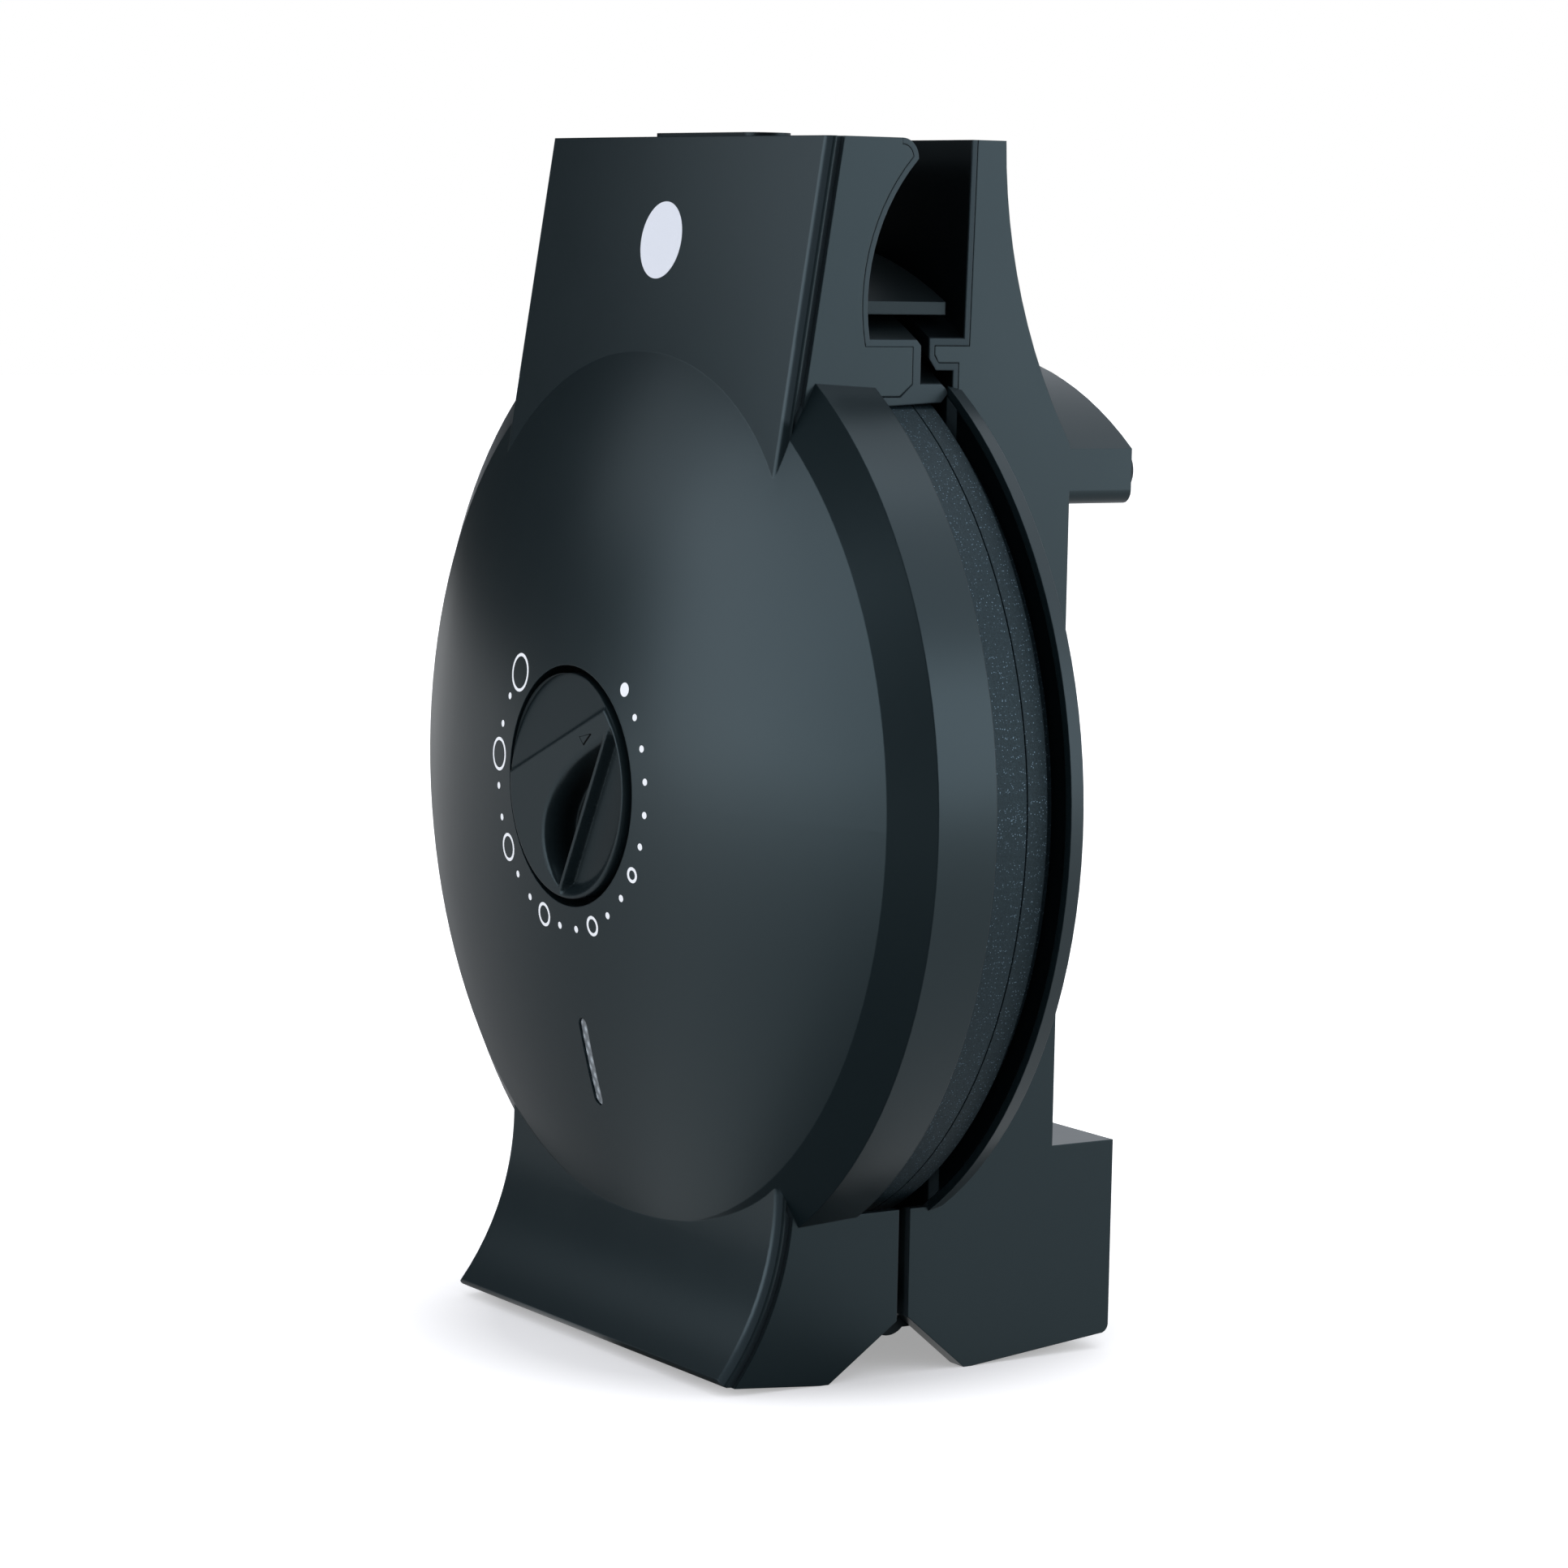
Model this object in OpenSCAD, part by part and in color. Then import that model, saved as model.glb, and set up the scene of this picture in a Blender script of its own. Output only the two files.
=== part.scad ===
// Electric krumkake iron, standing upright on its hinge end.
// X is the width, Y runs from the front (negative) to the back, Z is up.
// Inside the modules Y is counted from the closing plane of the two plates,
// and placed() moves the whole iron so that its box is centred over the origin.

/* [Round body] */
// Radius of the closed baking plates
plate_r = 100; // [94:1:106]
// How far the dome's rim lies inside the plates' edge
dome_inset = 5; // [4:0.5:8]
// Rise of the lid's dome over its rim
dome_rise = 19.2; // [16:0.2:22]
// Depth of the dome's rim ahead of the closing plane
lid_depth = 30.9; // [30:0.1:34]
// How far the lid's ring stands out past the plates
ring_out = 4.5; // [4:0.1:6]
// Depth of the bevel between the dome and the ring wall
bevel_d = 6.1; // [5:0.1:8]
// Depth of the lid's ring wall
ring_wall_d = 14.7; // [13:0.1:15.5]
// Draft of the ring wall on the radius
ring_draft = 0.7; // [0:0.1:1]
// How far the base rim stands out past the plates
rim_out = 4.1; // [3.6:0.1:6]
// Depth of the base rim's front edge behind the closing plane
rim_front = 8; // [7.5:0.1:9]
// Width of the base rim
rim_w = 3.6; // [3:0.1:5]
// Rise of the base bowl behind its rim
bowl_rise = 22; // [20:0.5:24]

/* [Band] */
// Width of the handle and tail band
band_w = 113; // [108:1:118]
// Depth of the base's flat back behind the closing plane
back_d = 40.1; // [39:0.1:44]
// General wall thickness
wall = 2.6; // [2:0.1:3]
// Wall thickness of the band's sides
side_wall = 3; // [2.5:0.1:4]
// Thickness of the cheeks at the hinge end
cheek = 5; // [4:0.1:5.5]
// Rounding of the lid's front edges
edge_r = 2; // [1:0.1:2.5]
// Width of the shadow groove beside that rounding
groove_w = 1.8; // [1:0.1:2]
// Depth of the shadow groove
groove_d = 1.4; // [0.8:0.1:1.8]

/* [Handles] */
// Reach of the handles above the lid's ring
handle_reach = 33.9; // [31:0.1:38]
// Lean of the lid handle's face from upright, in degrees
handle_lean = 9; // [8:0.5:10]
// Depth of the lid handle's face at its top, ahead of the closing plane
handle_top_d = 24.6; // [23:0.1:27]
// Crown of the lid handle's face across the band
crown = 1.8; // [1:0.1:3]
// Rounding of the lid handle's tip
tip_r = 4.1; // [3:0.1:5]
// Distance of the tip's rounding centre ahead of the closing plane
tip_d = 4.6; // [4:0.1:6]
// Radius of the finger curve
finger_r = 43; // [41:0.5:46]
// Depth of the finger curve ahead of the closing plane
finger_d = 12.4; // [11.5:0.1:13]
// Height of the finger floor over the plates' edge
floor_out = 12.1; // [11.5:0.1:13]
// Reach of the finger guard behind the closing plane
guard_reach = 9.1; // [7:0.1:9.4]
// Thickness of the finger guard
guard_t = 2.4; // [2:0.1:3]
// Depth of the base handle's grip face behind the closing plane
grip_d = 11.9; // [11.8:0.1:13]
// Thickness of the base handle at its top
grip_t = 8.5; // [8:0.1:11]
// Radius of the base handle's back curve
back_curve_r = 125; // [118:1:135]
// Thickness of the frames' visible edges
edge_t = 1.2; // [1:0.1:1.6]

/* [Hinge end] */
// Height of the lid's ring over the standing surface
ring_lift = 17.9; // [17:0.1:20]
// Height of the hinge axis
hinge_z = 12.5; // [11.5:0.1:13.5]
// Depth of the hinge axis behind the closing plane
hinge_d = 2.1; // [2:0.1:2.4]
// Radius of the hinge knuckles
knuckle_r = 5; // [4.6:0.1:5.6]
// Radius of the hinge pins
pin_r = 2.5; // [2:0.1:3]
// Radius of the tail's flared front
flare_r = 60; // [56:1:64]
// Reach of the tail's lip ahead of the closing plane
lip_d = 43.3; // [41:0.1:45]
// Rounding of the lip
lip_r = 3; // [2:0.1:4]
// Width of the gap between the two halves at the hinge end
tail_gap = 2.8; // [2.4:0.1:3.4]
// Depth of the bevel that clears the hinge on the lid's end
lid_notch_run = 17; // [16:0.5:19]
// Depth of the bevel that clears the hinge on the base's end
base_notch_run = 14.8; // [14:0.2:17]
// Rise of the lid's end face to its lip
lip_rise = 1.8; // [0.5:0.1:3]
// Rise of the base's end face to its back
heel_rise = 3.5; // [0.5:0.1:5]

/* [Feet] */
// Depth of the feet's end faces behind the closing plane
foot_d = 56.4; // [53:0.1:60]
// How far the front foot's arched top lies inside the plates' edge
foot_inset = 6.9; // [5:0.1:9]
// How far the front foot's underside lies inside the plates' edge
foot_under_inset = 37.8; // [34:0.2:42]
// Height of the rear foot's top
rear_foot_h = 46.3; // [41:0.1:49]
// Radius of the rubber pads
pad_r = 5.5; // [4.5:0.1:6.5]
// How far the pads stand out of the feet
pad_out = 3.5; // [2.5:0.1:4]

/* [Plates] */
// Thickness of the baking plates
plate_t = 6.5; // [5.5:0.1:7]
// Distance of the baking face from the plates' edge
bake_inset = 10; // [8:0.5:14]
// Depth of each baking face below the plate's rim
bake_d = 0.8; // [0.6:0.1:1.2]
// Width of the engraved lines
line_w = 1.2; // [0.8:0.1:1.6]
// Depth of the engraved lines
line_d = 0.7; // [0.4:0.1:1]
// Petals in the engraved rosette
petals = 12; // [6:1:16]

/* [Heating] */
// Distance of the heating element's ring from the plates' edge
element_inset = 30; // [28:0.5:33]
// Radius of the heating element's tube
element_tube_r = 2.9; // [2.4:0.1:3]
// Distance of the heat shields' edge from the plates' edge
shield_inset = 14; // [13.8:0.1:15.5]
// Thickness of the heat shields
shield_t = 0.8; // [0.6:0.1:1]
// Radius of the thermostat's case
thermostat_r = 15; // [13:0.5:16]

/* [Dial] */
// Radius of the dial knob
knob_r = 24.2; // [22:0.1:25]
// Height of the dial knob
knob_h = 11.6; // [11:0.1:12.4]
// Radius of the dial's shaft
shaft_r = 3; // [2.5:0.1:3.5]
// Rest angle of the pointer, clockwise from the top, in degrees
pointer_rest = 43.5; // [30:0.5:60]

/* [Indicator] */
// Length of the indicator window
window_l = 19.4; // [16:0.2:22]
// Width of the indicator window
window_w = 3.4; // [3:0.1:4.4]
// Distance of the window from the plates' centre
window_out = 60.2; // [57:0.2:64]

/* [Fits] */
// Gap between the two plates and round other parts that move apart
run_gap = 0.3; // [0.3:0.05:0.5]
// Radial clearance of a pin or shaft in its bore
fit_gap = 0.04; // [0.02:0.01:0.08]
// Width of the seams between fixed parts
seam = 0.15; // [0.1:0.05:0.3]

/* [Hidden] */
over = 1;
half_w = band_w / 2;
dome_r = plate_r - dome_inset;
bake_r = plate_r - bake_inset;
element_r = plate_r - element_inset;
shield_r = plate_r - shield_inset;
ring_r = plate_r + ring_out;
rim_r = plate_r + rim_out;
floor_r = plate_r + floor_out;
centre_z = ring_r + ring_lift;
top_z = centre_z + ring_r + handle_reach;
apex_y = -lid_depth - dome_rise;
ring_back_y = -lid_depth + bevel_d + ring_wall_d;
pad_back_y = foot_d + pad_out;
frame_y = (apex_y + pad_back_y) / 2;
fine = 96;
broad = 240;

function cap_radius(r, h) = (r * r + h * h) / (2 * h);
dome_ball_r = cap_radius(dome_r, dome_rise);
dome_ball_y = apex_y + dome_ball_r;
function dome_y(r) = dome_ball_y - sqrt(dome_ball_r * dome_ball_r - r * r);
bowl_back_r = rim_r - ring_draft;
bowl_ball_r = cap_radius(bowl_back_r, bowl_rise);
bowl_ball_y = rim_front + rim_w + bowl_rise - bowl_ball_r;
function bowl_y(r) = bowl_ball_y + sqrt(bowl_ball_r * bowl_ball_r - r * r);

// Room between the plates' edge and the housings
ring_room = 2.2;
skirt_room = 0.6;
skirt_out = 2;
// Flanges of the two frames, which carry the plates
flange_t = 2;
flange_inset = 20;
flange_in_r = plate_r - flange_inset;
lid_flange_y = -12;
base_flange_y = rim_front + seam;
flange_out_r = plate_r + skirt_out;
plate_skirt_w = 5;
plate_recess_y = 5;
plate_recess_w = 3;

// Labyrinth step between the halves under the finger floor
step_y = 1.1;
step_chamfer = 1;
hook_out = 4.3;
hook_y = 8.1;
hook_round = 1.6;
hook_t = 3.1;
hook_root_y = -5.7;
seam_y = -0.8;
base_step_y = 3.3;
base_step_out = 8.8;
base_step_r = plate_r + base_step_out;
base_ledge_out = 6.8;
base_ledge_r = plate_r + base_ledge_out;
base_ledge_y = 9.4;
base_notch = 1.7;
base_floor_r = floor_r + run_gap;

// Screws
screw_r = 1.5;
screw_hole_r = 1.6;
head_r = 3;
head_h = 1.8;
post_r = 5;
post_inset = 8;
post_ring_r = element_r - post_inset;
post_count = 4;
boss_inset = 8;
boss_ring_r = plate_r - boss_inset;
boss_r = 5.5;
boss_hole_r = 3.4;

module placed() translate([0, -frame_y, 0]) children();

// Turns a shape so that its z axis runs along +Y through the plates' centre
module axial() translate([0, 0, centre_z]) rotate([-90, 0, 0]) children();

// Draws a side profile, given in y and z, across the width
module across(w) rotate([90, 0, 90]) linear_extrude(w, center = true) children();

// Copies a shape to the right and the left side
module both_sides() {
    children();
    mirror([1, 0, 0]) children();
}

module round_places(count, r, turn) {
    for (i = [0 : count - 1])
        rotate([0, 0, turn + i * 360 / count])
            translate([r, 0, 0])
                children();
}

/* The lid's outer form, cut below into its shell and its frame. */

bevel_slope = bevel_d / (ring_r - dome_r);
bevel_lead = dome_inset;
round_front_y = apex_y - over;

module lid_round(grow) {
    axial()
        intersection() {
            translate([0, 0, dome_ball_y])
                sphere(r = dome_ball_r + grow, $fn = broad);
            rotate_extrude($fn = broad)
                polygon([
                    [0, round_front_y],
                    [dome_r - bevel_lead, round_front_y],
                    [dome_r - bevel_lead, -lid_depth - bevel_lead * bevel_slope - grow],
                    [ring_r + grow, -lid_depth + bevel_d - grow],
                    [ring_r + grow - ring_draft, ring_back_y],
                    [0, ring_back_y]
                ]);
        }
}

crown_w = half_w - edge_r;
crown_r = cap_radius(crown_w, crown);
crown_edge_y = crown_r - sqrt(pow(crown_r - edge_r, 2) - crown_w * crown_w);
crown_touch = crown_w * crown_r / (crown_r - edge_r);
front_depth = top_z / 3;
crown_down = top_z / 2;

// Plan of the lid handle across its leaning axis, with rounded front edges
module crown_plan(inset, grooved) {
    w = half_w - inset;
    difference() {
        union() {
            intersection() {
                translate([0, crown_r]) circle(r = crown_r, $fn = 2 * broad);
                translate([-crown_touch, -over]) square([2 * crown_touch, front_depth]);
            }
            both_sides()
                translate([crown_w, crown_edge_y]) circle(r = edge_r, $fn = fine);
            translate([-half_w, crown_edge_y]) square([band_w, front_depth - crown_edge_y]);
        }
        both_sides()
            translate([w, -over]) square([inset + over, front_depth + 2 * over]);
        if (grooved)
            both_sides()
                translate([half_w - groove_d, crown_edge_y])
                    square([groove_d + over, groove_w]);
    }
}

// Room behind the lid handle's crowned face, grooved as the moulding is
module crown_room(behind, inset, grooved) {
    translate([0, -handle_top_d + behind, top_z])
        rotate([-handle_lean, 0, 0])
            translate([0, 0, -crown_down])
                linear_extrude(crown_down + tip_r * 4)
                    crown_plan(inset, grooved);
}

finger_y = finger_r - finger_d;
finger_drop = 7.7;
finger_z = centre_z + floor_r - finger_drop;
tip_z = top_z - tip_r;
handle_low_z = centre_z + plate_r / 2;

// Side profile of the lid handle above the finger floor
module lid_handle_side(cut) {
    difference() {
        union() {
            translate([-front_depth, handle_low_z])
                square([front_depth - tip_d, top_z - handle_low_z]);
            translate([-front_depth, handle_low_z])
                square([front_depth - tip_d + tip_r - cut, tip_z - handle_low_z]);
            translate([-tip_d, tip_z]) circle(r = tip_r - cut, $fn = fine);
        }
        translate([finger_y, finger_z]) circle(r = finger_r + cut, $fn = broad);
    }
}

// Ring of the lid's neck, below the finger floor
module lid_ring(points) {
    axial() rotate_extrude($fn = broad) polygon(points);
}

module lid_neck_ring(points) {
    intersection() {
        lid_ring(points);
        translate([-half_w, -front_depth, handle_low_z])
            cube([band_w, 2 * front_depth, top_z - handle_low_z]);
    }
}

skirt_r = plate_r + skirt_room;
hook_r = plate_r + hook_out;
seam_slope = (seam_y - hook_root_y) / (hook_out - skirt_room);
skirt_seam_y = hook_root_y + (skirt_out - skirt_room) * seam_slope;
shell_neck_r = plate_r + ring_room;
lid_tail_y = hinge_d + tail_gap / 2 - tail_gap - seam;
base_tail_y = lid_tail_y + tail_gap;
notch_set = 0.6;
lid_notch_z = hinge_z - notch_set;
lid_notch_y = lid_tail_y - lid_notch_run;
base_notch_z = hinge_z;
base_notch_y = base_tail_y + base_notch_run;
end_land = 2;
tail_out = 3.3;
tail_top_z = centre_z - sqrt(pow(plate_r + tail_out, 2) - half_w * half_w);
flare_lap = 1;
flare_y = -lid_depth + flare_lap - flare_r;
flare_z = 41.3;
flare_room = flare_r + front_depth / 2;

// Side profile of the lid's tail, with the bevel that stops the open lid
module lid_tail_side() {
    difference() {
        union() {
            translate([-lip_d, lip_r + lip_rise])
                square([lip_d + lid_tail_y, tail_top_z - lip_r - lip_rise]);
            translate([-lip_d + lip_r, 0])
                square([lip_d - lip_r + lid_tail_y, tail_top_z]);
            translate([-lip_d + lip_r, lip_r + lip_rise]) circle(r = lip_r, $fn = fine);
            translate([-lip_d, tail_top_z - lip_r])
                square([lip_d + ring_back_y, 2 * flare_r / 5]);
        }
        polygon([
            [lid_notch_y, 0],
            [lid_notch_y, -over],
            [lid_tail_y + over, -over],
            [lid_tail_y + over, lid_notch_z],
            [lid_tail_y, lid_notch_z]
        ]);
        polygon([
            [-lip_d, -over],
            [-lip_d, lip_rise],
            [-lip_d + lip_r, lip_rise],
            [lid_notch_y - end_land, 0],
            [lid_notch_y - end_land, -over]
        ]);
    }
}

// Section of the flared tail: radius from the flare's axis against the width
module flare_plan(inset, grooved) {
    w = half_w - inset;
    r = flare_r + inset;
    difference() {
        union() {
            translate([flare_r + edge_r, -half_w])
                square([flare_room - edge_r, band_w]);
            translate([flare_r, -crown_w]) square([flare_room, 2 * crown_w]);
            translate([flare_r + edge_r, crown_w]) circle(r = edge_r, $fn = fine);
            translate([flare_r + edge_r, -crown_w]) circle(r = edge_r, $fn = fine);
        }
        translate([0, -half_w - over]) square([r, band_w + 2 * over]);
        translate([0, w]) square([flare_r + flare_room + over, inset + over]);
        mirror([0, 1])
            translate([0, w]) square([flare_r + flare_room + over, inset + over]);
        if (grooved) {
            translate([flare_r + edge_r, half_w - groove_d])
                square([groove_w, groove_d + over]);
            translate([flare_r + edge_r, -half_w - over])
                square([groove_w, groove_d + over]);
        }
    }
}

module flare_body(inset, grooved) {
    translate([0, flare_y, flare_z])
        rotate([0, 90, 0])
            rotate_extrude($fn = broad)
                flare_plan(inset, grooved);
}

recess_gap = 1.7;
recess_r = knob_r + recess_gap;
knob_proud = 1.2;
knob_y = dome_y(recess_r) - knob_proud;
recess_y = knob_y + knob_h + run_gap;
shaft_seat = 4;
shaft_flat_share = 0.7;
cup_r = recess_r + wall;
window_z = centre_z - window_out;

// Stadium outline along Y, centred
module slot(l, w) {
    square([w, l - w], center = true);
    for (s = [-1, 1])
        translate([0, s * (l - w) / 2]) circle(d = w, $fn = fine);
}

module window_prism(l, w) {
    translate([0, apex_y, window_z])
        rotate([-90, 0, 0])
            linear_extrude(lid_depth) slot(l, w);
}

handle_screw_x = 30;
handle_screw_down = 17;
handle_screw_z = top_z - handle_screw_down;
tail_screw_x = 20;
tail_screw_z = 10;
lid_seat_y = -14.2;
web_low_z = 4;

module lid_shell_form() {
    lid_round(0);
    intersection() {
        across(band_w) lid_handle_side(edge_t + seam);
        crown_room(0, 0, true);
        axial_outside(floor_r - edge_t - seam);
    }
    intersection() {
        lid_neck_ring([
            [ring_r / 2, apex_y],
            [floor_r - edge_t - seam + over / 10, apex_y],
            [floor_r - edge_t - seam + over / 10, seam_y - seam],
            [hook_r, seam_y - seam],
            [shell_neck_r, skirt_seam_y - seam],
            [shell_neck_r, ring_back_y],
            [ring_r / 2, ring_back_y]
        ]);
        crown_room(0, 0, true);
    }
    intersection() {
        across(band_w) lid_tail_side();
        flare_body(0, true);
    }
}

// All that lies outside a radius about the plates' axis
module axial_outside(r) {
    difference() {
        translate([-half_w - over, -front_depth, handle_low_z])
            cube([band_w + 2 * over, 2 * front_depth, top_z]);
        axial()
            translate([0, 0, -front_depth - over])
                cylinder(r = r, h = 2 * (front_depth + over), $fn = broad);
    }
}

module lid_shell_room() {
    axial()
        intersection() {
            translate([0, 0, dome_ball_y])
                sphere(r = dome_ball_r - wall, $fn = broad);
            rotate_extrude($fn = broad)
                polygon([
                    [0, round_front_y],
                    [dome_r - bevel_lead, round_front_y],
                    [dome_r - bevel_lead, -lid_depth + wall - bevel_lead * bevel_slope],
                    [shell_neck_r, -lid_depth + bevel_d + wall],
                    [shell_neck_r, 2 * step_y],
                    [0, 2 * step_y]
                ]);
        }
    intersection() {
        translate([-half_w + side_wall, -front_depth, handle_low_z])
            cube([band_w - 2 * side_wall, 2 * front_depth, top_z - wall - handle_low_z]);
        crown_room(wall, side_wall, false);
    }
    intersection() {
        translate([-half_w + cheek, -lip_d, -over])
            cube([band_w - 2 * cheek, lip_d + front_depth, flare_z + over]);
        flare_body(wall, false);
    }
}

module lid_shell() {
    color("#2b3437")
        placed()
            difference() {
                union() {
                    difference() {
                        lid_shell_form();
                        lid_shell_room();
                    }
                    axial()
                        translate([0, 0, dome_y(cup_r)])
                            cylinder(r = cup_r, h = recess_y + wall - dome_y(cup_r), $fn = fine);
                    lid_shell_bosses();
                }
                axial() {
                    translate([0, 0, apex_y - over])
                        cylinder(r = recess_r, h = recess_y - apex_y + over, $fn = fine);
                    translate([0, 0, recess_y - over])
                        cylinder(r = shaft_r + run_gap, h = wall + 2 * over, $fn = fine);
                }
                window_prism(window_l, window_w);
                lid_screw_places() cylinder(r = screw_r + fit_gap, h = lid_screw_l, $fn = fine);
                translate([0, pad_seat_y, top_z - pad_sink])
                    linear_extrude(pad_sink + over) rotate(90) slot(end_pad_l, end_pad_w);
            }
}

lid_screw_l = 12;

// Screw places of the lid, pointing forwards from the frame's seats
module lid_screw_places() {
    both_sides() {
        translate([handle_screw_x, lid_seat_y + flange_t, handle_screw_z])
            rotate([90, 0, 0]) children();
        translate([tail_screw_x, lid_flange_y, tail_screw_z])
            rotate([90, 0, 0]) children();
    }
}

module lid_shell_bosses() {
    intersection() {
        both_sides()
            translate([handle_screw_x, lid_seat_y, handle_screw_z])
                rotate([90, 0, 0]) cylinder(r = post_r, h = front_depth / 2, $fn = fine);
        crown_room(wall / 2, side_wall / 2, false);
    }
    intersection() {
        both_sides()
            translate([tail_screw_x, lid_flange_y - flange_t, tail_screw_z])
                rotate([90, 0, 0]) cylinder(r = post_r, h = front_depth / 2, $fn = fine);
        flare_body(wall / 2, false);
    }
}

end_pad_l = 45;
end_pad_w = 11;
end_pad_t = 1.9;
pad_sink = 0.9;
pad_seat_y = -13;

module handle_end_pad() {
    color("#1d2225")
        placed()
            translate([0, pad_seat_y, top_z - pad_sink])
                linear_extrude(end_pad_t) rotate(90) slot(end_pad_l - 2 * seam, end_pad_w - 2 * seam);
}

knuckle_w = 9.4;
knuckle_inset = 16.5;
knuckle_x = half_w - knuckle_inset;
knuckle_side = 5.7;
arm_h = 7;

module pin_bore(r) {
    translate([-half_w, hinge_d, hinge_z])
        rotate([0, 90, 0]) cylinder(r = r, h = band_w, $fn = fine);
}

module knuckle(x, w) {
    translate([x - w / 2, hinge_d, hinge_z])
        rotate([0, 90, 0]) cylinder(r = knuckle_r, h = w, $fn = fine);
}

module lid_frame() {
    color("#20282b")
        placed()
            difference() {
                union() {
                    // Finger wall, floor, step and hooked lip, all flush with the sides
                    intersection() {
                        union() {
                            intersection() {
                                difference() {
                                    across(band_w + 2 * over) lid_handle_side(0);
                                    across(band_w + 4 * over) lid_handle_side(edge_t);
                                }
                                axial_outside(floor_r - edge_t / 2);
                            }
                            lid_ring([
                                [floor_r, -finger_d - run_gap],
                                [floor_r, step_y - step_chamfer],
                                [floor_r - step_chamfer, step_y],
                                [hook_r, step_y],
                                [hook_r, hook_y - hook_round],
                                [hook_r - hook_round / 2, hook_y - hook_round / 4],
                                [hook_r - hook_t / 2, hook_y],
                                [hook_r - hook_t, hook_y - hook_round],
                                [skirt_r, hook_root_y],
                                [skirt_r, lid_flange_y - flange_t],
                                [flange_out_r, lid_flange_y - flange_t],
                                [flange_out_r, skirt_seam_y],
                                [hook_r, seam_y],
                                [floor_r - edge_t, seam_y],
                                [floor_r - edge_t, -finger_d - run_gap]
                            ]);
                        }
                        translate([-half_w, -front_depth, handle_low_z])
                            cube([band_w, 2 * front_depth, top_z - handle_low_z + over]);
                    }
                    // Finger guard, an arch about the plates' centre
                    intersection() {
                        axial()
                            rotate_extrude($fn = broad)
                                translate([guard_r, -finger_d - edge_t])
                                    square([guard_t, guard_reach + finger_d + edge_t]);
                        translate([-guard_w / 2, -front_depth, handle_low_z])
                            cube([guard_w, 2 * front_depth, top_z]);
                        across(band_w)
                            translate([finger_y, finger_z])
                                circle(r = finger_r + edge_t / 2, $fn = broad);
                    }
                    // Ring flange behind the plate, and the web that carries the knuckles
                    axial()
                        rotate_extrude($fn = broad)
                            polygon([
                                [flange_in_r, lid_flange_y - flange_t],
                                [flange_out_r, lid_flange_y - flange_t],
                                [flange_out_r, ring_back_y - seam],
                                [skirt_r, ring_back_y - seam],
                                [skirt_r, lid_flange_y],
                                [flange_in_r, lid_flange_y]
                            ]);
                    translate([-half_w + cheek + seam, lid_flange_y - flange_t, web_low_z])
                        cube([band_w - 2 * (cheek + seam), flange_t, web_h]);
                    both_sides() {
                        knuckle(knuckle_x, knuckle_w);
                        translate([knuckle_x - knuckle_w / 2, lid_flange_y - flange_t, hinge_z - arm_h / 2])
                            cube([knuckle_w, hinge_d - lid_flange_y + flange_t, arm_h]);
                    }
                    // Screw seats behind the finger wall
                    intersection() {
                        both_sides()
                            translate([handle_screw_x, lid_seat_y, handle_screw_z])
                                rotate([-90, 0, 0]) cylinder(r = post_r, h = finger_d, $fn = fine);
                        across(band_w) lid_handle_side(0);
                    }
                }
                pin_bore(pin_r + fit_gap);
                lid_screw_places()
                    translate([0, 0, -over])
                        cylinder(r = screw_hole_r, h = lid_screw_l, $fn = fine);
                both_sides()
                    translate([handle_screw_x, lid_seat_y + flange_t, handle_screw_z])
                        rotate([-90, 0, 0]) cylinder(r = boss_hole_r, h = finger_d, $fn = fine);
            }
}

guard_lift = 3.1;
guard_r = floor_r + guard_lift;
guard_w = band_w - 2 * side_wall;
web_h = tail_top_z - web_low_z - over;

module screw(l) {
    translate([0, 0, -head_h / 4]) cylinder(r = screw_r, h = l + head_h / 4, $fn = fine);
    translate([0, 0, -head_h])
        difference() {
            cylinder(r = head_r, h = head_h, $fn = fine);
            translate([0, 0, -over]) cylinder(r = head_r / 3, h = head_h / 2 + over, $fn = 6);
        }
}

module lid_screws() {
    color("#9aa0a4")
        placed()
            lid_screw_places() screw(lid_screw_l - over);
}

/* The baking plates. One side's form serves both, mirrored at the closing plane. */

petal_share = 0.3;
petal_r = petal_share * bake_r;
border_gap = 6;

module ring_line(r) {
    difference() {
        circle(r = r + line_w / 2, $fn = fine);
        circle(r = r - line_w / 2, $fn = fine);
    }
}

// Engraved lines of one baking face
module rosette() {
    for (i = [0 : petals - 1])
        rotate(i * 360 / petals)
            translate([petal_r, 0])
                ring_line(petal_r);
    ring_line(2 * petal_r + border_gap);
    ring_line(bake_r - border_gap / 2);
}

module plate_form(skirt, recess) {
    difference() {
        rotate_extrude($fn = broad)
            polygon(concat(
                [
                    [0, run_gap / 2 + bake_d],
                    [bake_r, run_gap / 2 + bake_d],
                    [bake_r + bake_d, run_gap / 2],
                    [plate_r, run_gap / 2],
                    [plate_r, recess]
                ],
                [
                    [plate_r - plate_recess_w, recess],
                    [plate_r - plate_recess_w, skirt],
                    [plate_r - plate_skirt_w, skirt],
                    [plate_r - plate_skirt_w, plate_t],
                    [0, plate_t]
                ]
            ));
        translate([0, 0, run_gap / 2 + bake_d - over])
            linear_extrude(line_d + over) rosette();
    }
}

upper_skirt = -lid_flange_y;
lower_skirt = base_flange_y;
shield_drop = 6;
upper_dish = upper_skirt + flange_t + shield_drop;
lower_dish = lower_skirt + flange_t + shield_drop;

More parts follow.
